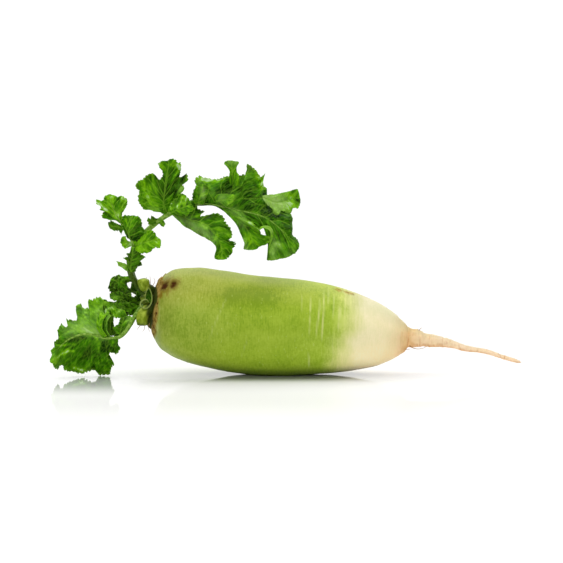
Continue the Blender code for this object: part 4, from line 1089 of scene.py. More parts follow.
# %% The big end blade
lobe_piece(Lobe(
    "arching_end_blade", seed=3, waves=12.0, face=(0.1, -1.0, 0.1), tone=-0.2, veins=0, teeth=(1.1, 0.35),
    fold_shade=0.3, clear=0.8, midrib=0.5,
    rib=ARCHING_STALK.line[10:] + ((21, -9.5, 95.5), (26, -8, 91.5)),
    left=((-48, -1, 120.5), (-48.5, -2, 124), (-47.5, -3, 129), (-45.5, -2, 132.5), (-46.5, -2, 136.5),
          (-43.5, -1, 139.5), (-41, 2, 138), (-35, 4, 137), (-28.5, 4, 137.5), (-24, 3, 138.5),
          (-20, 3, 138.5), (-16.5, 4, 139), (-14, 4.5, 140), (-11.5, 5, 141), (-10, 6, 146.5),
          (-6.5, 7, 145), (-3.5, 8, 142), (-0.5, 9, 138), (2, 10, 140.5), (1, 10, 136), (1.5, 10, 131.5),
          (3.5, 10, 129.5), (1, 9, 126), (2, 8.5, 121.5), (7, 8, 119), (12, 7, 118), (19, 5, 114),
          (21.5, 3, 109.5), (21.5, 0, 103.5), (21.5, -3, 98.5), (24.5, -5, 95.5), (26, -6.5, 92.5)),
    right=((-46.5, 0, 118.5), (-41, -1, 118.5), (-35.5, -2, 119), (-30, -3, 117.5), (-25, -5, 114),
           (-19.5, -6.5, 111.5), (-13, -8.5, 108.5), (-7, -10.5, 105), (-2.5, -11.5, 103), (1, -12, 103.5),
           (4.5, -12, 103), (6, -12, 101), (6, -13, 97), (5, -14, 92), (4.5, -15, 86.5), (3.5, -16, 82),
           (8, -15, 81.5), (12.5, -15, 82.5), (17.5, -14, 83.5), (21.5, -12, 85.5), (24.5, -10, 87.5),
           (26, -8.5, 90.5)),
    lines=(((-24, 119), (-19.5, 117), (-14.5, 115.5), (-9, 115), (-3.5, 114), (2, 111), (7, 108),
             (12.5, 103.5), (16.5, 100), (19.5, 94)),
           ((-24, 119), (-23, 123.5), (-20.5, 128), (-14.5, 132), (-8, 135.5), (-2.5, 139)),
           ((-23.5, 119.5), (-19.5, 122), (-14.5, 123.5), (-9, 123.5), (-4.5, 123.5), (0, 123.5)),
           ((-3.5, 114), (1, 118), (4.5, 120), (9, 121)),
           ((-27.5, 120), (-27.5, 126), (-28.5, 131.5), (-27.5, 137)),
           ((-33, 121.5), (-36, 126.5), (-38.5, 132), (-41, 136)),
           ((-20.5, 128), (-19.5, 135.5), (-20, 142.5), (-21.5, 148.5)),
           ((-14.5, 132), (-11, 138.5), (-9, 144)), ((2, 111), (7, 113.5), (13.5, 113.5), (19, 111)),
           ((7, 108), (12.5, 108.5), (19, 105.5)), ((-14.5, 115.5), (-11, 111), (-7.5, 107), (-3.5, 104)),
           ((-3.5, 114), (-0.5, 108.5), (2, 104)), ((12.5, 103.5), (17, 96.5), (19.5, 88)),
           ((-39.5, 120), (-42, 125), (-44.5, 130)), ((-14.5, 123.5), (-10.5, 128), (-4, 130), (1, 130)),
           ((-9, 123.5), (-4, 120), (1.5, 119))),
    strokes=((2.4, 0.5, 0.2, ((-44.5, 137.5), (-43, 135.5))),
             (2.8, -0.3, 0, ((-45.5, 131.5), (-44.5, 126), (-41, 123))),
             (1.5, 1.4, 0, ((-41, 137), (-34.5, 136), (-27, 137))),
             (3.5, 0.35, 0.1, ((-37.5, 131.5), (-34.5, 128))), (2.1, 0.2, 0.4, ((-42, 128),)),
             (3.5, -0.75, 0, ((-29.5, 128), (-22, 130))),
             (2.8, 0.3, 0.1, ((-25.5, 126), (-20.5, 125), (-23, 121))), (3.5, 0.1, 0, ((-18.5, 141),)),
             (2.8, -0.2, 0, ((-20.5, 135),)), (3.5, 0.3, 0, ((-7, 137),)),
             (1.8, 1.1, 0, ((-3.5, 139), (0, 135.5), (0, 131.5))), (4.2, -0.5, 0, ((-13, 128), (-7, 128))),
             (2.8, 0.3, 0, ((-2, 130),)), (3.5, -0.45, 0, ((-11.5, 120), (-4, 118), (3, 115.5))),
             (4.9, -0.5, 0, ((4.5, 114.5), (10.5, 112), (16, 107.5))), (4.9, 0.15, 0, ((11, 91), (17, 88))),
             (1.1, 0.7, 0.3, ((9.5, 93), (11, 94), (12.5, 92.5))), (4.2, -0.2, 0, ((15.5, 99.5),)),
             (2.8, 0.2, 0.15, ((21.5, 88), (17.5, 84))), (2.8, 0.3, 0.3, ((-20, 115.5), (-15, 112))),
             (3.5, -0.7, 0, ((-10.5, 106.5), (-13, 109))),
             (1.3, 1, 0, ((-7, 106.5), (-3.5, 103.5), (-1.5, 102))),
             (2.8, 0.35, 0.35, ((7, 95), (7.5, 89.5))), (1.4, -0.5, 0, ((9, 95), (12, 94.5))),
             (2.1, 0.2, 0.35, ((10.5, 93), (12, 91))), (2.8, 0.2, 0.3, ((7, 87.5), (8.5, 83.5))),
             (2.1, 0.3, 0.3, ((-20, 149.5), (-22, 148))), (2.8, 0.2, 0.1, ((-8, 145), (-11, 142.5)))),
))

# %% A tooth of the end blade with a narrow neck
lobe_piece(Lobe(
    "arching_top_tooth", seed=30, waves=2.0, face=(0.1, -1.0, 0.2), tone=0.1, ruffle=0.8, veins=0,
    teeth=(0.5, 0.5),
    rib=((-20.5, -1, 128), (-20.5, 1.5, 135), (-21, 2.5, 142.5), (-21, 2, 150)),
    left=((-24.5, -1, 128), (-23.5, 1.5, 136.5), (-22.5, 2, 142.5), (-24.5, 3, 145.5), (-26.5, 3.5, 148),
          (-24, 3, 150)),
    right=((-16, -1, 128), (-16, 2, 138), (-17.5, 3, 142.5), (-17.5, 3, 145.5), (-16, 3.5, 149),
           (-18.5, 3, 149.5)),
    lines=(((-20.5, 129.5), (-20.5, 139), (-21, 148)), ((-20.5, 139), (-23.5, 142)),
           ((-21, 142), (-18, 145.5)), ((-21, 143.5), (-24.5, 147.5))),
    strokes=((2.1, 0.2, 0.4, ((-23, 149), (-18, 149))), (2.8, -0.3, 0, ((-19.5, 133.5), (-18, 129.5)))),
))

# %% A lip of the end blade that folds forwards
lobe_piece(Lobe(
    "arching_folded_lip", seed=20, waves=1.5, face=(0.0, -1.0, 0.5), tone=-0.05, ruffle=0.5, veins=2,
    teeth=(0.4, 0.3),
    rib=((-32, -6, 122), (-27.5, -8, 123), (-23, -9.5, 123.5), (-19.5, -10, 123)),
    left=((-32.5, -4, 124.5), (-30, -5.5, 126.5), (-26.5, -7, 127), (-22.5, -9, 127.5), (-19.5, -9.5, 127),
          (-18, -10, 124.5)),
    right=((-31.5, -6, 119.5), (-29, -7.5, 119), (-26, -9, 119), (-24.5, -10, 118), (-22.5, -10, 120),
           (-20, -10.5, 122)),
    strokes=((1.5, 0.6, 0.1, ((-19.5, 125.5), (-20.5, 122.5), (-23, 119.5))),
             (3.5, 0.1, 0.3, ((-27.5, 124),))),
))

# %% The crumpled foot of the end blade
lobe_piece(Lobe(
    "arching_crumpled_base", seed=21, waves=3.0, tone=0.2, ruffle=2.4, veins=3, pucker=1.2, fold_shade=CRUMPLED_FOLD_SHADE,
    rib=((-44.5, -4, 120.5), (-43, -6, 125), (-41.5, -7, 130), (-41, -6, 134)),
    left=((-47.5, -3, 120.5), (-48, -4, 125), (-47, -5, 130), (-45, -4, 133.5)),
    right=((-41, -4, 120), (-39, -5, 124), (-37.5, -5, 128.5), (-37.5, -4, 132.5)),
    strokes=((1.8, 0.1, 0.5, ((-41, 130.5), (-41, 125))), (2.1, 0.4, 0, ((-45, 132.5),)),
             (2.1, -0.6, 0, ((-43.5, 124.5),))),
))

# %% The curled pale rim round the small hole
lobe_piece(Lobe(
    "arching_curled_rim", seed=22, waves=2.0, tone=0.35, ruffle=0.5, veins=0, teeth=(0.2, 0.0),
    rib=((-2, -17, 103.5), (0.5, -17.5, 105), (3.5, -17.5, 104.5), (6.5, -17, 102.5), (7, -17, 99.5),
         (6.5, -17.5, 95), (5.5, -17.5, 91.5), (4.5, -17, 88)),
    left=((-2, -16, 104), (0.5, -16, 105.5), (4.5, -16, 105.5), (7.5, -15.5, 103), (8, -15.5, 99),
          (7, -16, 95), (6, -16, 91.5), (5, -16, 89)),
    right=((-1, -17.5, 103), (1, -18, 104), (3.5, -18, 103.5), (5.5, -18, 102), (6, -18, 99.5),
           (5.5, -18, 95), (5, -18, 92), (4.5, -17.5, 88.5)),
    strokes=((2.8, 0.2, 0.5, ((3, 105), (6.5, 103))), (4.2, 0, 0.2, ((6.5, 96),))),
))

# %% The near lobe, which hides the end of a deep notch
lobe_piece(Lobe(
    "arching_near_lobe", seed=4, waves=6.0, face=(0.0, -1.0, 0.1), veins=0, teeth=(0.2, 0.6), fold_shade=0.25,
    clear=0.6, midrib=0.5,
    rib=((-28, -3, 118), (-23.5, -7, 115.5), (-19.5, -11, 112), (-13.5, -13, 107.5), (-9, -16, 101.5),
         (-6.5, -18, 95), (-6, -19, 89)),
    left=((-28.5, -3, 117.5), (-24, -8.5, 113), (-19.5, -12, 108.5), (-16, -15, 103.5), (-13.5, -18, 97.5),
          (-12, -20, 93.5), (-12.5, -20, 90), (-9, -19.5, 89)),
    right=((-27.5, -3.5, 118), (-22, -8.5, 115.5), (-15, -12, 112.5), (-8, -14, 109), (-4, -16, 105.5),
           (-2, -17, 104), (-1, -17, 102), (0, -17, 99.5), (2.5, -16.5, 98.5), (5.5, -16.5, 97.5),
           (5.5, -17, 94.5), (3, -18, 92.5), (-1, -18.5, 91.5), (-3.5, -19, 89.5)),
    lines=(((-27, 118.5), (-22, 114.5), (-17, 111), (-12.5, 106), (-8, 99.5), (-5.5, 94), (-4, 91.5)),
           ((-17, 111), (-11, 110), (-4.5, 105.5)), ((-12.5, 106), (-7, 104), (-2, 100.5)),
           ((-8, 99.5), (-3.5, 97.5), (2, 96))),
    strokes=((2.1, 0.3, 0.4, ((-22.5, 116.5), (-16.5, 113.5), (-11, 110))),
             (2.1, -1, 0, ((-13.5, 105.5), (-10, 104))),
             (0.98, 0.7, 0.1, ((-8.5, 107.5), (-5.5, 105.5), (-2, 103))),
             (1.8, 0.6, 0.1, ((-14.5, 112), (-10, 110), (-7, 107.5))),
             (3.5, 0.5, 0, ((-8, 97), (-5.5, 95.5))), (2.8, 0, 0, ((-0.5, 95.5),)),
             (2.1, 0.3, 0.5, ((-13, 95.5), (-11.5, 90))), (2.1, 0.4, 0.2, ((-15, 108), (-12.5, 105.5)))),
))

# %% The flap that turns its pale underside up
lobe_piece(Lobe(
    "arching_turned_flap", seed=5, waves=5.0, face=(0.0, -1.0, 0.1), tone=0.3, ruffle=1.0, veins=4,
    teeth=(0.2, 1.0),
    rib=((0.5, -6, 125), (5.5, -4, 122.5), (11, -1, 121), (17, 2, 122), (21.5, 3, 123), (26.5, 2.5, 124.5)),
    left=((0.5, -6, 126), (5, -3, 126.5), (9, 0, 126.5), (14, 2, 127.5), (19, 3, 128.5), (24.5, 4, 130),
          (26, 3, 127)),
    right=((0.5, -6.5, 124), (3.5, -6.5, 120), (7, -5, 117), (8, -4, 113.5), (10, -4, 112.5),
           (12.5, -3, 114.5), (14.5, -3, 115), (17, -2, 114), (20, -2, 113.5), (22, -1, 117), (25.5, 0, 117),
           (27, 2, 122.5)),
    strokes=((7, 0.3, 1, ((1.5, 124), (7, 121), (13.5, 119))), (2.1, 0.6, 0, ((10, 118), (13.5, 117.5))),
             (2.8, -0.5, -0.9, ((24, 128), (24.5, 121.5))), (2.8, 0.6, -0.3, ((19.5, 124), (18, 117.5))),
             (0.63, -0.5, -0.2, ((13.5, 122.5), (15.5, 118))),
             (0.63, -0.5, -0.2, ((10.5, 120.5), (12, 116))), (0.63, -0.5, -0.2, ((16, 123), (18, 121)))),
))

# %% The two small leaflets under the fan
lobe_piece(Lobe(
    "arching_leaflet_left", seed=6, waves=2.0, face=(0.0, -1.0, 0.3), tone=-0.5, ruffle=0.5, veins=3,
    rib=((-72.5, 0, 107.5), (-75.5, -2, 108), (-77.5, -3, 109)),
    left=((-73.5, -1, 106), (-76, -3, 105.5), (-78.5, -4, 105.5), (-80, -4, 108), (-79, -4, 110.5)),
    right=((-72.5, 0, 109.5), (-74.5, -1, 110), (-76, -2, 111), (-77.5, -3, 112)),
))
lobe_piece(Lobe(
    "arching_leaflet_right", seed=7, waves=1.0, face=(0.0, -1.0, 0.3), tone=-0.1, ruffle=0.4, veins=2,
    rib=((-72, -0.5, 108), (-69.5, -3, 106.5), (-68, -5, 105)),
    left=((-71, -0.5, 109.5), (-68.5, -2, 108), (-67, -4, 106)),
    right=((-72.5, -1, 107), (-70.5, -3, 105), (-68.5, -5, 104)),
))

# %% [markdown]
# ### The upright leaf
#
# A shorter leaf stands beside the first. Its lobes are small and rounded, and low on its stalk it has
# narrow wings with sharp teeth.

# %% The upright leaf's stalk
UPRIGHT_STALK = Stalk(
    "upright_stalk",
    line=((-69, 5, 49.5), (-78, 5, 52.5), (-84, 3.5, 59), (-89.5, -1.5, 66.5), (-92, -6.5, 73.5),
          (-91.5, -9, 78.5), (-90.5, -10.5, 83), (-89, -12.5, 88.5), (-90, -14, 95), (-93.5, -15, 100),
          (-97, -15.5, 107), (-98.5, -16.5, 110), (-100.5, -17, 113), (-102, -17, 116.5),
          (-103.5, -16.5, 120.5)),
    radii=(2.3, 2.1, 1.7, 0.9, 0.5, 0.3),
    dark_to=50.0,
)
stalk_piece(UPRIGHT_STALK, "leaf_upright")

# %% The end lobe of the upright leaf
lobe_piece(Lobe(
    "upright_end_lobe", seed=8, waves=8.0, face=(-0.1, -1.0, 0.2), tone=0.3, veins=0,
    rib=UPRIGHT_STALK.line[10:] + ((-105.5, -15, 127.5),),
    left=((-98.5, -15.5, 107.5), (-101.5, -16.5, 110), (-105.5, -18, 110.5), (-109.5, -20, 111),
          (-110, -20, 113.5), (-109, -19, 115.5), (-111, -20, 117), (-111, -20, 119.5), (-113.5, -20, 121),
          (-114, -20, 123.5), (-112.5, -19, 124), (-111, -18, 122.5), (-109, -17, 124.5), (-108.5, -16, 126),
          (-106.5, -15, 127)),
    right=((-95.5, -15, 107.5), (-96.5, -15, 111.5), (-96.5, -15, 115), (-95, -14, 117), (-93.5, -12, 119.5),
           (-93, -11, 122), (-94, -10.5, 124.5), (-97, -11, 126), (-99.5, -13, 125.5), (-102, -14, 126.5),
           (-104.5, -15, 127.5)),
    lines=(((-97, 107), (-99.5, 111), (-101.5, 115), (-103.5, 120), (-104.5, 124)),
           ((-100, 112), (-105, 114), (-109, 115)), ((-101.5, 115), (-106, 118), (-110.5, 119.5)),
           ((-102.5, 118.5), (-106, 122), (-109, 123)), ((-100.5, 114), (-97, 118), (-94.5, 122)),
           ((-102.5, 118), (-100, 122), (-98, 124))),
    strokes=((4.2, 0.4, 0, ((-104.5, 119.5),)), (1.5, 0.8, 0, ((-112, 121), (-109.5, 119.5), (-107, 117.5))),
             (1.5, 0.8, 0, ((-97, 124.5), (-94.5, 123.5))), (1.4, 0.4, 0, ((-105.5, 125), (-103.5, 125.5))),
             (1.4, 0.4, 0, ((-101.5, 114), (-99.5, 112.5))),
             (2.8, -0.3, 0, ((-107.5, 112.5), (-103.5, 112))), (2.1, -0.3, 0, ((-100.5, 121),)),
             (2.1, 0.5, 0.2, ((-99.5, 114),))),
))

# %% The lobes below the end lobe, one on each side
lobe_piece(Lobe(
    "upright_left_lobe", seed=9, waves=3.0, tone=-0.45, ruffle=0.7, veins=2,
    rib=((-95.5, -15, 103.5), (-99.5, -13.5, 104.5), (-104, -12, 105), (-106.5, -11, 106)),
    left=((-97.5, -15, 99.5), (-99, -14, 102), (-102.5, -12, 102), (-105.5, -11, 103.5)),
    right=((-97.5, -15, 106), (-100.5, -13, 107), (-104, -11, 108.5), (-106.5, -11, 107.5)),
))
lobe_piece(Lobe(
    "upright_right_lobe", seed=10, waves=7.0, face=(0.0, -1.0, 0.15), tone=-0.1, veins=0,
    rib=((-91.5, -17, 96.5), (-92, -17, 101.5), (-91, -15.5, 106), (-89.5, -12, 112.5)),
    left=((-93, -17, 97), (-95, -17.5, 101.5), (-97, -17, 105.5), (-97.5, -16, 109), (-96.5, -14, 111.5),
          (-93.5, -12, 112.5), (-91, -11.5, 112.5)),
    right=((-90, -16, 95.5), (-87, -15, 94.5), (-84, -13, 95.5), (-81.5, -12, 98), (-81, -11, 101.5),
           (-83, -11, 105), (-83.5, -11, 108.5), (-85.5, -11, 111.5), (-88.5, -11, 112.5)),
    lines=(((-96.5, 109.5), (-94.5, 105), (-92.5, 100.5), (-91, 97)),
           ((-92.5, 100.5), (-89, 104), (-86.5, 108)), ((-94, 103.5), (-92, 108), (-90.5, 111.5)),
           ((-92, 98.5), (-87, 100), (-83, 101.5))),
    strokes=((3.5, 0.3, 0, ((-93, 108),)), (2.8, -0.6, 0, ((-87.5, 102.5), (-84, 103.5))),
             (2.8, -0.9, 0, ((-90.5, 98), (-86.5, 98)))),
))

# %% The bright lobe and the pale leaflet behind the stalk
lobe_piece(Lobe(
    "upright_bright_lobe", seed=11, waves=7.0, face=(0.0, -1.0, 0.15), tone=0.2, veins=0,
    rib=((-89.5, -13, 91.5), (-85, -15, 92.5), (-80, -17, 94.5), (-75.5, -18, 95.5), (-69.5, -18, 95.5)),
    left=((-89, -13, 94.5), (-85, -15, 96.5), (-82, -15, 99.5), (-79.5, -15, 102), (-76.5, -16, 102.5),
          (-74, -17, 101), (-72.5, -18, 98.5), (-70, -18, 96.5)),
    right=((-88.5, -13, 89.5), (-86.5, -15, 88.5), (-83.5, -17, 87), (-80.5, -19, 87), (-77, -20, 87.5),
           (-76, -20, 89), (-73.5, -20, 90.5), (-70, -20, 91), (-69.5, -19, 94.5)),
    lines=(((-88.5, 91.5), (-84, 93), (-80, 94.5), (-75, 95.5), (-71.5, 95)),
           ((-84, 93), (-81.5, 97), (-78.5, 100.5)), ((-80, 94.5), (-76.5, 98.5), (-74.5, 100)),
           ((-84, 93), (-81, 89.5), (-77.5, 88)), ((-79.5, 94.5), (-75, 91.5), (-71.5, 91.5))),
    strokes=((4.2, 0.4, 0, ((-80, 94.5), (-83, 91))), (2.8, 0.1, 0, ((-74, 97),)),
             (1.3, 0.4, 0, ((-71.5, 97), (-70.5, 93))), (2.1, -0.2, 0, ((-80, 100.5), (-76, 100.5)))),
))
lobe_piece(Lobe(
    "upright_pale_leaflet", seed=12, waves=4.0, tone=0.6, ruffle=0.7, veins=2,
    rib=((-89, -13.5, 93), (-92, -16, 94), (-94, -18, 95), (-96, -18, 98.5)),
    left=((-88.5, -13.5, 91.5), (-92, -15, 91), (-94, -17, 90), (-96, -18, 91.5), (-97.5, -19, 94.5),
          (-97, -19, 97.5)),
    right=((-89.5, -14, 94.5), (-92, -16, 95), (-93.5, -17, 96.5), (-94, -17, 98.5)),
    strokes=((2.1, 0.4, 0.4, ((-91, 93),)), (2.1, -0.7, 0, ((-96.5, 96),))),
))

# %% Toothed wings and a pale strip, low on the stalk
lobe_piece(Lobe(
    "upright_toothed_wings", seed=13, waves=5.0, tone=-0.4, ruffle=0.7, veins=4,
    rib=((-91, -10.5, 73), (-91, -12, 79), (-90, -13.5, 83.5), (-89, -15.5, 91)),
    left=((-93, -11, 74), (-93.5, -12, 77.5), (-94, -13.5, 81), (-96, -14.5, 83.5), (-93, -14, 84),
          (-93.5, -14.5, 86.5), (-91.5, -14.5, 87), (-90.5, -15.5, 91)),
    right=((-88, -9.5, 73), (-86.5, -11, 76.5), (-83, -12.5, 78), (-84, -12.5, 81), (-81, -14, 83.5),
           (-83.5, -14, 85), (-84.5, -14.5, 87.5), (-87, -15, 91)),
    strokes=((2.8, -0.3, 0, ((-93, 83),)), (2.8, 0.4, 0, ((-84.5, 81.5),)),
             (2.1, 0.4, 0.2, ((-89.5, 91.5),))),
))
lobe_piece(Lobe(
    "upright_pale_strip", seed=14, waves=2.0, tone=0.5, ruffle=0.5, veins=1,
    rib=((-92, -8.5, 74.5), (-96, -11, 77.5), (-100, -13, 79.5)),
    left=((-94.5, -9, 73.5), (-97, -11, 76), (-99.5, -13, 77.5)),
    right=((-92.5, -9, 78), (-96.5, -11, 79.5), (-101, -13, 81)),
    strokes=((4.2, 0.2, 0.5, ((-97, 78),)),),
))

# %% [markdown]
# ### The inner leaf
#
# A young leaf is crumpled between the stalks and tightly puckered, painted dark as shade there.

# %% The inner leaf's stalk
INNER_STALK = Stalk(
    "inner_stalk",
    line=((-69.5, 15, 48.5), (-78.5, 15, 51), (-85, 15.5, 53.5), (-91.5, 15, 57), (-96, 14, 59.5),
          (-101, 13.5, 61.5)),
    radii=(2.2, 1.6, 1.0, 0.6),
    dark_to=60.0,
)
stalk_piece(INNER_STALK, "leaf_inner")

# %% The two halves of the inner leaf
lobe_piece(Lobe(
    "inner_upper_half", seed=15, waves=9.0, face=(-0.1, -1.0, 0.1), tone=-0.95, ruffle=1.8, pucker=0.9,
    fold_shade=CRUMPLED_FOLD_SHADE,
    rib=INNER_STALK.line[2:] + ((-107.5, 12.5, 64),),
    left=((-85, 14.5, 52), (-88.5, 12, 56), (-92, 11, 57), (-93.5, 9, 53.5), (-101, 8.5, 51), (-106, 9, 52),
          (-107.5, 10, 54), (-106.5, 11, 56), (-108.5, 11.5, 59.5), (-107.5, 12, 63)),
    right=((-85, 16, 59), (-88, 15.5, 63.5), (-91.5, 15, 64), (-92.5, 15, 62), (-93.5, 15, 59),
           (-95.5, 15, 62), (-94.5, 16, 67.5), (-97.5, 16, 66.5), (-101, 16, 68.5), (-104.5, 15, 67.5),
           (-107, 13.5, 65.5)),
    strokes=((3.5, -0.5, 0, ((-97, 55), (-95, 51))), (2.1, 0.3, 0.3, ((-105.5, 52.5), (-102.5, 51.5))),
             (2.8, 0.2, 0, ((-102, 64.5), (-97.5, 65))), (2.1, 0.3, 0, ((-106, 59.5),))),
))
lobe_piece(Lobe(
    "inner_lower_half", seed=16, waves=8.0, face=(-0.1, -1.0, 0.1), tone=-0.95, ruffle=1.8, pucker=0.9,
    fold_shade=CRUMPLED_FOLD_SHADE,
    rib=((-81.5, 15, 52), (-87, 10.5, 50), (-93, 6, 48.5), (-99, 3, 48), (-108, 0, 46)),
    left=((-80.5, 11, 50), (-85, 7, 45.5), (-88, 4, 41.5), (-92.5, 1, 41.5), (-97.5, -1, 41), (-102, -2, 42),
          (-107, -2, 44)),
    right=((-83.5, 12, 58), (-87, 11.5, 58.5), (-89, 11, 56.5), (-89.5, 11, 53.5), (-91.5, 10, 53.5),
           (-94, 9, 56), (-98.5, 7, 54), (-102, 5, 50.5), (-105.5, 3, 50.5), (-108.5, 1, 48)),
    strokes=((3.5, 0.5, 0, ((-103, 45.5), (-98.5, 44.5))), (2.8, -0.6, 0, ((-93, 49.5),)),
             (2.1, 0.4, 0.2, ((-95, 44),))),
))

# %% Five tight curls in front of the inner leaf
TIGHT_CURL = {"pucker": 1.1, "fold_shade": CRUMPLED_FOLD_SHADE, "ruffle": 3.2}
lobe_piece(Lobe(
    "inner_top_curl", seed=23, waves=5.0, tone=-0.15, veins=4, **TIGHT_CURL,
    rib=((-95, 10, 58.5), (-99.5, 8, 62), (-102.5, 7, 65), (-106.5, 7, 66.5)),
    left=((-95, 9, 56), (-99, 7, 58.5), (-103.5, 6, 60), (-107.5, 6, 63)),
    right=((-95.5, 11, 60.5), (-97.5, 10, 64.5), (-100.5, 9, 67.5), (-105, 8, 68)),
    strokes=((1.1, 0.6, 0, ((-103.5, 63), (-100.5, 64.5), (-98.5, 63.5))),
             (1.1, 0.6, 0, ((-106.5, 58), (-101.5, 57.5))), (1.4, -0.5, 0, ((-102.5, 59.5),))),
))
lobe_piece(Lobe(
    "inner_back_curl", seed=31, waves=4.0, face=(0.0, -1.0, 0.1), tone=-0.5, ruffle=2.4, veins=3, pucker=1.1,
    fold_shade=CRUMPLED_FOLD_SHADE,
    rib=((-89.5, 12, 65.5), (-93, 11, 66), (-97.5, 10, 66), (-102, 9, 65)),
    left=((-89.5, 12, 63.5), (-93, 11, 64), (-97, 9, 63), (-102, 8, 62)),
    right=((-89.5, 13, 67.5), (-93, 12, 68), (-97.5, 11, 68), (-102, 10, 67.5)),
))
lobe_piece(Lobe(
    "inner_middle_curl", seed=24, waves=6.0, face=(0.0, -1.0, 0.1), tone=-0.35, veins=4, **TIGHT_CURL,
    rib=((-88, 9, 50.5), (-94.5, 6, 52), (-100.5, 4, 54.5), (-107, 4, 54)),
    left=((-88, 8, 48), (-94, 5, 48.5), (-100.5, 3, 51.5), (-105.5, 3, 52.5)),
    right=((-89, 9, 53), (-95, 6, 55.5), (-100.5, 4, 58), (-107, 4, 56.5)),
    strokes=((1.8, 1, 0.2, ((-105.5, 53.5), (-102, 53.5))),),
))
lobe_piece(Lobe(
    "inner_front_curl", seed=32, waves=6.0, face=(0.0, -1.0, 0.1), tone=-0.3, veins=4, **TIGHT_CURL,
    rib=((-88.5, 5, 45.5), (-94, 2, 47.5), (-99.5, 0, 49.5), (-103.5, 0, 49.5)),
    left=((-89.5, 4, 43), (-93, 1, 44.5), (-96, -1, 46), (-100, -2, 46.5), (-103.5, -1, 47.5)),
    right=((-88.5, 6, 48.5), (-93.5, 3, 50.5), (-99, 2, 52.5), (-103, 1, 51)),
    strokes=((1.7, 0.9, 0.2, ((-93.5, 52.5), (-93.5, 48))),),
))
lobe_piece(Lobe(
    "inner_low_curl", seed=25, waves=6.0, face=(0.0, -1.0, 0.3), tone=-0.1, veins=4, **TIGHT_CURL,
    rib=((-85.5, 3, 48), (-92, 0, 46.5), (-98, -2, 46.5), (-105, -3, 47)),
    left=((-86.5, 2, 44), (-92, -1, 42.5), (-95, -3, 44.5), (-99.5, -4, 41.5), (-104, -4, 43)),
    right=((-87, 3, 50), (-93, 0, 50), (-98.5, -2, 50.5), (-104, -3, 50.5)),
    strokes=((2.1, 1, 0.2, ((-103.5, 46.5), (-100, 47))), (1.4, -0.6, 0, ((-101.5, 44), (-98.5, 44)))),
))

# %% [markdown]
# ### The drooping leaf
#
# The broad leaf bends down in front of the crown and rests the tip of its lower lobe on the floor. The
# upper half catches the light and the lower half is in its own shade. A small leaflet rolls up inside
# the stalk's bend.

# %% The drooping leaf's stalk
DROOPING_STALK = Stalk(
    "drooping_stalk",
    line=((-68.5, -5, 47.5), (-77.5, -6.5, 49), (-83.5, -9.5, 47.5), (-88.5, -13, 42), (-92.5, -15.5, 35),
          (-96.5, -17, 30), (-100, -17.5, 28), (-105.5, -18, 27.5), (-110, -18.5, 28), (-115.5, -18.5, 30),
          (-122, -18, 30.5), (-129, -17, 29), (-135.5, -16.5, 25.5), (-140.5, -15.5, 21)),
    radii=(2.7, 1.8, 1.45, 1.25, 1.0, 0.7, 0.5),
)
stalk_piece(DROOPING_STALK, "leaf_drooping")

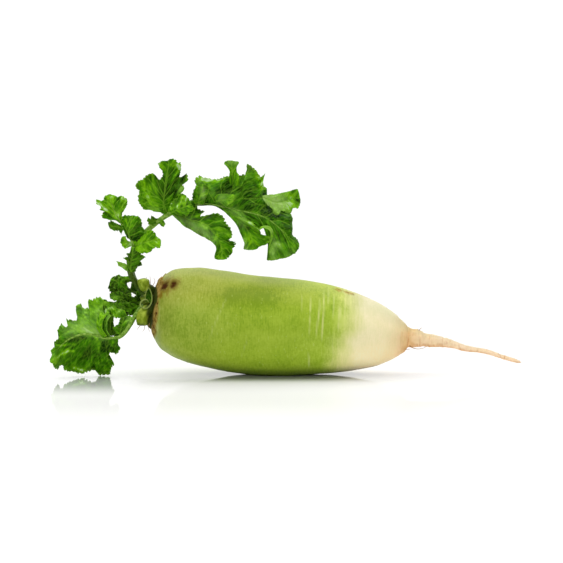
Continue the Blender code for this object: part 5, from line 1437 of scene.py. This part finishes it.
# %% The broad blade, whose lower lobe reaches the surface
lobe_piece(Lobe(
    "drooping_broad_blade", seed=17, waves=13.0, face=(0.0, -1.0, 0.15), tone=-0.1, veins=0,
    teeth=(1.2, 1.5), clear=0.45, midrib=0.35,
    rib=DROOPING_STALK.line[6:] + ((-146.5, -14.5, 17),),
    left=((-99.5, -18, 26), (-99.5, -20, 23), (-98, -21, 21), (-100.5, -22, 17), (-103.5, -22, 18),
          (-107.5, -21, 15), (-106, -18, 12.5), (-102.5, -16, 9.5), (-105, -12, 6), (-106.5, -8, 1),
          (-110.5, -7, 0.5), (-114, -7, 0.5), (-116.5, -9, 4), (-121.5, -9, 3), (-126.5, -8, 1.5),
          (-131, -10, 3), (-136.5, -12, 4.5), (-139, -14, 7.5), (-140.5, -15, 8.5), (-142.5, -15, 5.5),
          (-144.5, -20, 9.5), (-146.5, -18, 12.5), (-145.5, -16, 15.5)),
    right=((-102.5, -17, 28.5), (-108, -16, 30), (-111.5, -14, 34.5), (-111, -11, 39.5), (-109, -7, 44.5),
           (-106, -3, 50), (-110, -2, 52), (-113.5, -1, 54.5), (-116, -1, 54), (-119, -1, 52.5),
           (-121.5, -2, 52), (-121.5, -3, 47.5), (-125, -3, 47), (-127.5, -2, 50), (-130, -3, 46.5),
           (-129, -5, 41.5), (-130.5, -6, 38.5), (-136, -6, 39.5), (-134.5, -7, 36.5), (-137, -8, 34.5),
           (-140, -8, 36.5), (-142, -9, 32.5), (-141.5, -11, 27.5), (-144.5, -12, 24), (-144.5, -13, 21),
           (-147, -14, 18.5)),
    lines=(((-99, 27), (-105.5, 27.5), (-110, 28.5), (-114.5, 31), (-120.5, 33.5), (-127.5, 33.5),
             (-134.5, 32), (-140, 28.5), (-144, 23)),
           ((-110, 28.5), (-113.5, 34.5), (-115, 41.5), (-115.5, 48.5), (-115, 54.5)),
           ((-114.5, 31), (-120.5, 37.5), (-124.5, 43), (-126.5, 48.5)),
           ((-120.5, 33.5), (-127.5, 37), (-132.5, 38)),
           ((-105.5, 27.5), (-107.5, 22), (-108, 15), (-107, 9.5)),
           ((-110, 28.5), (-112.5, 22), (-114, 14.5), (-113, 7)),
           ((-113.5, 30.5), (-118, 24.5), (-122, 18), (-125.5, 11)),
           ((-118, 32), (-123.5, 27), (-129.5, 23), (-136, 19.5), (-141.5, 14.5)),
           ((-126, 33.5), (-132.5, 29), (-138.5, 25)), ((-115, 41.5), (-110.5, 46.5), (-107, 50)),
           ((-122, 18), (-120.5, 12.5), (-119.5, 7)), ((-129.5, 23), (-132, 16.5), (-133, 9.5)),
           ((-123.5, 27), (-129, 28), (-136, 28)), ((-112.5, 22), (-118, 17.5), (-120.5, 12.5))),
    strokes=((2.4, 0.7, 0.1, ((-110.5, 50), (-108, 46.5))), (1.7, -0.45, 0, ((-126.5, 48.5), (-126, 44.5))),
             (4.9, 0.4, 0, ((-117.5, 51), (-110, 48))), (1.4, -0.5, 0, ((-133, 40.5), (-131.5, 36))),
             (2.8, 0.2, 0.15, ((-122, 44.5), (-123.5, 39))),
             (2.8, 0.1, 0.25, ((-113.5, 45), (-111.5, 40.5))), (6.3, 0.3, 0.15, ((-130, 36), (-113.5, 36))),
             (5.6, 0.4, 0.1, ((-123, 46), (-112, 44.5))), (3.5, 0.3, 0, ((-136, 32.5),)),
             (2.4, 0.6, 0.3, ((-123.5, 32.5), (-115, 31), (-109.5, 28.5))),
             (4.9, -0.15, 0, ((-138.5, 26.5), (-129.5, 24.5))), (6.3, -0.45, 0, ((-122, 18.5), (-115, 15))),
             (1, 0.9, 0, ((-138, 16.5), (-134.5, 18.5), (-131, 18.5))),
             (0.84, 0.7, 0, ((-143, 22), (-130.5, 23.5))),
             (0.84, 0.7, 0, ((-141.5, 14), (-136, 19.5), (-129, 23))),
             (0.91, -0.5, 0, ((-137.5, 21), (-130.5, 21.5))),
             (1.1, 0.8, 0, ((-118, 31), (-112.5, 25.5), (-113.5, 18))),
             (2.8, 0.45, 0.1, ((-142.5, 11), (-145, 14.5))), (1.1, 1.3, 0, ((-131, 6), (-125.5, 4.5))),
             (3.5, 0.1, 0.3, ((-136, 32.5), (-126, 34.5), (-113.5, 32))),
             (1.5, -0.5, 0, ((-141.5, 25.5), (-129, 27), (-118, 28), (-109.5, 25.5))),
             (2.8, 0.1, 0, ((-110.5, 8),)), (4.2, -0.8, 0, ((-108, 23), (-105.5, 20))),
             (2.1, 0.2, 0, ((-102, 22), (-100.5, 19.5)))),
))

# %% A curl that joins the blade to the inner leaf
lobe_piece(Lobe(
    "drooping_upper_curl", seed=26, waves=4.0, face=(0.0, -1.0, 0.3), tone=-0.05, ruffle=2.4, veins=4,
    pucker=1.1, fold_shade=CRUMPLED_FOLD_SHADE,
    rib=((-111, -6, 49.5), (-106, -6, 48.5), (-101, -6, 47), (-95.5, -6, 45.5)),
    left=((-111, -4, 53.5), (-106, -4, 51.5), (-101.5, -4, 49.5), (-95.5, -4, 48)),
    right=((-111, -9, 45), (-106.5, -9, 42.5), (-103, -9, 41), (-99.5, -9, 40.5), (-94, -8, 40.5)),
    strokes=((1.1, 0.9, 0.3, ((-108, 46.5), (-104.5, 48))), (0.98, 1, 0.3, ((-101, 44.5), (-98.5, 46))),
             (1.4, -0.8, 0, ((-104.5, 51), (-100.5, 49))), (1.7, -0.6, 0, ((-111, 51),)),
             (1, -0.6, 0, ((-97, 46.5),)), (1.4, 0.5, 0, ((-103.5, 42.5), (-99, 42)))),
))

# %% A leaflet rolled into a cup: its pale outside, rim, hollow painted dark as shade, and far side
lobe_piece(Lobe(
    "drooping_roll_outer", seed=27, waves=1.0, face=(-0.3, -1.0, 0.2), tone=0.35, ruffle=0.5, veins=0,
    teeth=(0.3, 0.0),
    rib=((-108.5, -21, 29), (-111.5, -22, 33), (-112.5, -22, 37.5), (-111.5, -21, 41.5), (-109.5, -19, 45)),
    left=((-110, -19, 28), (-113, -19, 32), (-114.5, -19, 37), (-113.5, -18, 42), (-111, -16, 46)),
    right=((-107, -22, 30), (-109.5, -24, 34), (-110.5, -24, 37.5), (-109.5, -23, 41), (-107.5, -21, 44)),
))
lobe_piece(Lobe(
    "drooping_roll_inner", seed=28, waves=1.0, face=(-0.3, -1.0, 0.2), tone=-0.2, ruffle=0.5, veins=0,
    teeth=(0.0, 0.0),
    rib=((-106, -19, 29.5), (-108.5, -19.5, 33), (-109, -19.5, 37), (-108, -19, 41), (-105.5, -17, 44)),
    left=((-107, -18, 29), (-110, -17.5, 32.5), (-110.5, -17.5, 37), (-109.5, -17, 41.5), (-107, -16, 44.5)),
    right=((-105, -20, 30), (-107, -20.5, 33.5), (-107.5, -20.5, 37), (-106.5, -20, 40.5),
           (-104.5, -18, 43)),
    strokes=((0.98, 0.9, 0.4, ((-104.5, 30), (-107, 33.5), (-107, 37), (-106.5, 40.5), (-104.5, 43.5))),),
))
# A sheet behind the roll, painted dark as shade in the hollow
lobe_piece(Lobe(
    "drooping_roll_hollow", seed=29, waves=2.0, tone=-1.0, veins=2,
    rib=((-104.5, -13, 28.5), (-105.5, -12, 34), (-105, -12, 39.5), (-104.5, -12, 43)),
    left=((-107, -14, 29.5), (-108.5, -14, 34.5), (-108.5, -14, 40), (-107, -13, 44)),
    right=((-100.5, -14, 29.5), (-101.5, -14, 33), (-103, -13, 36.5), (-103, -13, 42.5)),
))
lobe_piece(Lobe(
    "drooping_rolled_leaflet", seed=18, waves=3.0, face=(-0.3, -0.7, 0.6), tone=-0.4, ruffle=0.5, veins=3,
    fold_shade=CRUMPLED_FOLD_SHADE,
    rib=((-98, -15.5, 29), (-98, -15, 32.5), (-97, -14, 36.5), (-96, -12, 41.5)),
    left=((-102.5, -15.5, 28), (-103.5, -15.5, 31), (-103.5, -15, 33.5), (-101.5, -14.5, 36),
          (-99.5, -14, 37.5), (-99, -12, 41.5)),
    right=((-94, -14.5, 32), (-91.5, -14, 36), (-89.5, -13, 40), (-92, -12, 43)),
    strokes=((2.1, 0.3, 0, ((-95, 34.5), (-96, 40))), (2.1, -0.5, 0, ((-100, 32),)),
             (2.1, 0.9, 0.4, ((-92.5, 39), (-91, 42)))),
))

# %% [markdown]
# ## Stubs of old stalks
#
# Three leaves were cut or torn off close to the crown. Two stubs end in a dried cut, and the third is
# split and curls into a small ring with a pale lip. Each is again a profile carried along a line, and a
# profile that turns back on itself makes the slight hollow of the lower cut. The ring is two thin tubes
# that start from one tip, and a small sheet, painted dark as shade, closes the hood between them.

# %% Stubs
STUB_RINGS, STUB_SIDES = 70, 36


def stub_piece(name, line, profile, dry_from, shade_from, node=None, material=STUB):
    """A stub from (share of the line, radius) pairs, in small steps, with lumps and a dried end.

    Painted shade darkens it towards the crown, from the given place on.
    """
    steps = smooth_curve(profile, np.linspace(0.0, 1.0, STUB_RINGS))
    rings, poles = carried(line, steps[:, 0], np.maximum(steps[:, 1], 0.01), STUB_SIDES, ribs=0.04)
    outward = unit(rings - rings.mean(axis=1, keepdims=True))
    lumps = 0.3 * soft_noise(rings, 2.4, 71) * smoothstep(0.5, 2.5, steps[:, 1])[:, None]
    rings = rings + lumps[..., None] * outward
    dry = smoothstep(dry_from, 1.0, steps[:, 0])[:, None] * (0.7 + 0.5 * soft_noise(rings, 2.0, 72))
    # Painted shade towards the crown, laid on with the dried end
    along = rings[..., 0] + 0.8 * soft_noise(rings, 3.0, 73)
    near_crown = smoothstep(shade_from - 1.5, shade_from + 1.5, along)
    piece = tube_piece(name, rings, poles, dry=np.clip(np.maximum(dry, near_crown), 0.0, 1.0))
    return finish_piece(piece, material, node)


stub_piece(
    "upper_stub",
    ((-74.0, -5.0, 57.0), (-78.0, -7.0, 60.5), (-81.0, -8.0, 62.5), (-82.6, -8.0, 66.0), (-83.0, -8.0, 68.4)),
    ((0.0, 0.0), (0.0, 3.0), (0.35, 3.4), (0.6, 4.2), (0.8, 4.1), (0.93, 3.0), (1.0, 1.3), (1.0, 0.0)),
    0.97, -78.6, "stalk_stub_upper",
)
stub_piece(
    "curled_stub_foot",
    ((-72.0, -9.0, 52.0), (-77.0, -11.0, 53.5), (-81.0, -13.0, 53.5), (-83.5, -14.0, 52.5)),
    ((0.0, 0.0), (0.0, 3.0), (0.4, 4.0), (0.75, 4.2), (0.95, 2.8), (1.0, 1.2), (1.0, 0.0)),
    -4.0, -78.5, "stalk_stub_curled",
)
stub_piece(
    "curled_stub",
    ((-78.3, -17.0, 62.7), (-76.7, -17.5, 59.6), (-76.0, -18.5, 55.5), (-76.6, -19.5, 52.1),
     (-78.5, -20.0, 49.4), (-81.0, -20.5, 48.6), (-83.5, -20.5, 49.9), (-83.9, -20.5, 52.4),
     (-82.2, -20.0, 54.3), (-79.8, -19.5, 54.7), (-78.3, -18.0, 52.9)),
    ((0.0, 0.0), (0.0, 0.25), (0.15, 0.38), (0.5, 0.52), (0.8, 0.48), (0.96, 0.4), (1.0, 0.3), (1.0, 0.0)),
    1.5, -70.0, None, STUB_LIP,
)
stub_piece(
    "curled_stub_side",
    ((-78.3, -17.0, 62.7), (-79.9, -18.0, 60.3), (-80.5, -18.5, 57.6), (-80.8, -18.5, 54.4)),
    ((0.0, 0.0), (0.0, 0.3), (0.3, 0.36), (0.8, 0.34), (1.0, 0.25), (1.0, 0.0)),
    1.5, -70.0, None, STUB_LIP,
)
# Its dark tone is painted shade inside the ring
lobe_piece(Lobe(
    "curled_stub_hood", seed=40, waves=1.0, face=(0.0, -1.0, 0.1), tone=-0.9, ruffle=0.3, veins=0,
    teeth=(0.0, 0.0), midrib=0.0,
    rib=((-78.4, -16.5, 62.3), (-78.4, -17.0, 59.5), (-78.4, -17.5, 56.1), (-78.6, -18.0, 52.7)),
    left=((-78.9, -17.0, 61.6), (-80.0, -17.5, 59.6), (-80.5, -18.0, 56.1), (-80.4, -18.5, 53.0)),
    right=((-77.8, -17.0, 61.6), (-76.8, -17.5, 58.9), (-76.3, -18.0, 55.4), (-76.9, -18.5, 52.3)),
))
stub_piece(
    "lower_stub",
    ((-75.0, -13.0, 48.0), (-79.5, -16.0, 47.0), (-82.6, -17.5, 43.0), (-82.8, -17.5, 36.5)),
    ((0.0, 0.0), (0.0, 3.6), (0.3, 3.9), (0.55, 4.2), (0.8, 4.3), (0.95, 3.9), (1.0, 2.4), (0.97, 0.0)),
    0.8, -79.6, "stalk_stub_lower",
)

# %% [markdown]
# ## Rootlets and fibres
#
# Thin side roots stay on the tail, and torn fibres stand round the crown. Each is a bent line with a
# radius of about a quarter of a millimetre that tapers to less than half of that. They are too few for
# a hair system, so they are tubes like the rest, gathered into one piece for the tail and one for the
# crown.

# %% Fine fibres
FIBRE_RINGS, FIBRE_SIDES = 14, 6
ROOTLET_RADIUS, FIBRE_RADIUS = 0.28, 0.22


def fibre_bundle(name, lines, radius, material):
    """Many thin tapering tubes in one mesh: each tube's faces count on from the last one's points."""
    points, quads, triangles, count = [], [], [], 0
    share = np.linspace(0.0, 1.0, FIBRE_RINGS)
    for line in lines:
        rings, poles = carried(line, share, radius * (1.0 - 0.6 * share), FIBRE_SIDES)
        ring_quads, ring_triangles = ring_faces(*rings.shape[:2])
        points.append(np.concatenate([rings.reshape(-1, 3), poles]))
        quads.append(ring_quads + count)
        triangles.append(ring_triangles + count)
        count += len(points[-1])
    points, quads, triangles = map(np.concatenate, (points, quads, triangles))
    return finish_piece(closed_mesh(name, points, quads, triangles, dry=1.0), material)


ROOTLETS = (
    ((109.5, 0.5, 28.5), (110.4, 0.0, 31.0), (111.0, -0.5, 32.2), (112.2, -1.0, 33.0)),
    ((110.2, 0.0, 29.5), (109.6, 0.5, 31.4), (109.0, 0.5, 32.0)),
    ((103.0, -3.0, 20.6), (106.0, -4.0, 18.9), (109.5, -4.0, 18.3), (113.2, -3.5, 18.9), (116.0, -3.0, 20.4)),
    ((98.5, -3.0, 19.0), (101.0, -4.5, 17.9), (103.5, -4.5, 18.2)),
)
fibre_bundle("side_rootlets", ROOTLETS, ROOTLET_RADIUS, FIBRE)
CROWN_FIBRES = (
    ((-79.0, -6.0, 60.0), (-80.0, -7.0, 66.0), (-80.5, -8.0, 69.5)),
    ((-78.0, -8.0, 60.0), (-77.5, -9.0, 66.0), (-78.0, -9.0, 70.5)),
    ((-76.5, -8.0, 62.0), (-74.5, -9.0, 66.5), (-75.5, -9.5, 69.0)),
    ((-83.0, -17.0, 38.0), (-85.5, -19.0, 35.0), (-86.5, -19.0, 33.5)),
    ((-81.0, -18.0, 37.0), (-81.5, -20.0, 34.0), (-83.0, -20.0, 32.5)),
    ((-78.0, -17.0, 38.0), (-78.5, -19.0, 34.5), (-77.5, -19.5, 32.0)),
)
fibre_bundle("crown_fibres", CROWN_FIBRES, FIBRE_RADIUS, FIBRE)

# %% [markdown]
# ## Floor, light and camera
#
# A white floor before a bright white backdrop is the usual way to photograph food. The camera looks
# almost along the floor, so a mirror on it shows mostly the backdrop and stays white. How much of the
# floor is mirror and how much is plain white depends on the place, so that the radish is reflected
# clearly where it touches and faintly in front. A wide soft light hangs over the radish, and a weaker one
# fills the front.

# %% Floor and backdrop
FLOOR_SIZE = 3.6
BACKDROP_HEIGHT = 2.1
# Places in millimetres, to the right and to the back, where a part of the mirror begins and is full
WHITER = (-250.0, -650.0)
CONTACT = (-45.0, -15.0)
LEAF_SIDE, LEAF_DEPTH = (-75.0, -95.0), (-110.0, -40.0)
FAR = (100.0, 1000.0)
# The middle and width of the band in front of the root that mirrors faintly, and how much it does
BAND_MIDDLE, BAND_WIDTH, BAND_SHARE = -130.0, 80.0, 0.17


def floor_finish():
    """White, with a mirror on it whose share depends on the place.

    It is strong at the contact and under the leaf, faint in front of the root, and strongest far behind.
    """
    floor = Finish("floor", Specular_IOR_Level=0.0)
    place = floor.add("SeparateXYZ", {0: floor.place}).outputs
    floor.set("Base Color", floor.zone(place[1], WHITER, 0.75, 0.95))
    contact = floor.zone(place[1], CONTACT, 0.0, 0.5)
    front = floor.math("MULTIPLY_ADD", place[1], 1.0 / (BAND_WIDTH * MM), -BAND_MIDDLE / BAND_WIDTH)
    front = floor.math("EXPONENT", floor.math("MULTIPLY", floor.math("MULTIPLY", front, front), -1.0))
    leaf = floor.zone(place[0], LEAF_SIDE, 0.0, 0.6)
    leaf = floor.math("MULTIPLY", leaf, floor.zone(place[1], LEAF_DEPTH))
    share = floor.math("MAXIMUM", contact, leaf)
    share = floor.math("ADD", share, floor.math("MULTIPLY", front, BAND_SHARE))
    share = floor.math("ADD", share, floor.zone(place[1], FAR, 0.0, 0.8))
    mirror = floor.add("BsdfAnisotropic", {"Color": (1.0, 1.0, 1.0, 1.0), "Roughness": 0.05})
    both = floor.add("MixShader", {0: share, 1: floor.shader.outputs[0], 2: mirror.outputs[0]})
    floor.tree.links.new(both.outputs[0], floor.tree.nodes["Material Output"].inputs["Surface"])
    return floor.material


def backdrop_finish():
    backdrop = Finish("backdrop", Emission_Strength=1.02)
    backdrop.shader.inputs["Base Color"].default_value = (0.0, 0.0, 0.0, 1.0)
    backdrop.shader.inputs["Emission Color"].default_value = (1.0, 1.0, 1.0, 1.0)
    return backdrop.material


def stage_sheet(name, corners, material):
    """A flat sheet of the studio, from its four corners in metres."""
    mesh = bpy.data.meshes.new(name)
    mesh.from_pydata(corners, [], [(0, 1, 2, 3)])
    mesh.materials.append(material)
    sheet = bpy.data.objects.new(name, mesh)
    bpy.context.scene.collection.objects.link(sheet)
    return sheet


half = FLOOR_SIZE / 2.0
stage_sheet("floor", [(-half, -half, 0.0), (half, -half, 0.0), (half, half, 0.0), (-half, half, 0.0)],
            floor_finish())
stage_sheet("backdrop", [(-half, half, 0.0), (half, half, 0.0), (half, half, BACKDROP_HEIGHT),
                         (-half, half, BACKDROP_HEIGHT)], backdrop_finish())
print("floor and backdrop are", FLOOR_SIZE, "m wide")

# %% Light
LIGHTS_AIM = (0.0, 0.0, 0.04)


def away_rotation(away):
    """The turn that points an object's own +Z along a direction."""
    return Vector(away).to_track_quat("Z", "Y")


def soft_light(name, place, size, power, shade):
    """An oblong area light that faces the radish from its place, in metres."""
    data = bpy.data.lights.new(name, "AREA")
    data.shape = "RECTANGLE"
    data.size, data.size_y = size
    data.energy = power
    data.color = shade
    lamp = bpy.data.objects.new(name, data)
    lamp.location = place
    lamp.rotation_mode = "QUATERNION"
    lamp.rotation_quaternion = away_rotation(np.array(place) - LIGHTS_AIM)
    bpy.context.scene.collection.objects.link(lamp)
    return lamp


soft_light("overhead_light", (0.0, 0.25, 1.1), (2.0, 1.6), 27.0, (1.0, 0.99, 0.97))
soft_light("front_light", (-0.5, -1.4, 0.7), (1.0, 0.8), 5.8, (1.0, 1.0, 1.0))
print("two soft lights")

# %% Surroundings
# Colour and strength of what the camera sees, and of what lights the radish
SEEN = ((1.0, 1.0, 1.0, 1.0), 1.05)
LIT = ((0.98, 0.99, 1.0, 1.0), 0.27)

world = bpy.data.worlds.new("studio")
world.use_nodes = True
tree = world.node_tree
path = tree.nodes.new("ShaderNodeLightPath")
choice = tree.nodes.new("ShaderNodeMixShader")
tree.links.new(path.outputs["Is Camera Ray"], choice.inputs[0])
for number, node, (shade, strength) in (
    (1, tree.nodes["Background"], LIT), (2, tree.nodes.new("ShaderNodeBackground"), SEEN),
):
    node.inputs["Color"].default_value = shade
    node.inputs["Strength"].default_value = strength
    tree.links.new(node.outputs[0], choice.inputs[number])
tree.links.new(choice.outputs[0], tree.nodes["World Output"].inputs["Surface"])
scene = bpy.context.scene
scene.world = world
scene.view_settings.view_transform = "Standard"
print("made", world.name)

# %% Camera
AIM = (0.01365, 0.0, 0.0654)
DISTANCE = 1.6
ELEVATION = math.radians(5.5)
SEEN_WIDTH = 0.3941
data = bpy.data.cameras.new("camera")
data.sensor_width = 36.0
data.lens = data.sensor_width * DISTANCE / SEEN_WIDTH
camera = bpy.data.objects.new("camera", data)
back = np.array([0.0, -math.cos(ELEVATION), math.sin(ELEVATION)])
camera.location = np.array(AIM) + DISTANCE * back
camera.rotation_mode = "QUATERNION"
camera.rotation_quaternion = away_rotation(back)
scene.collection.objects.link(camera)
scene.camera = camera
print("lens:", round(data.lens, 1), "mm")
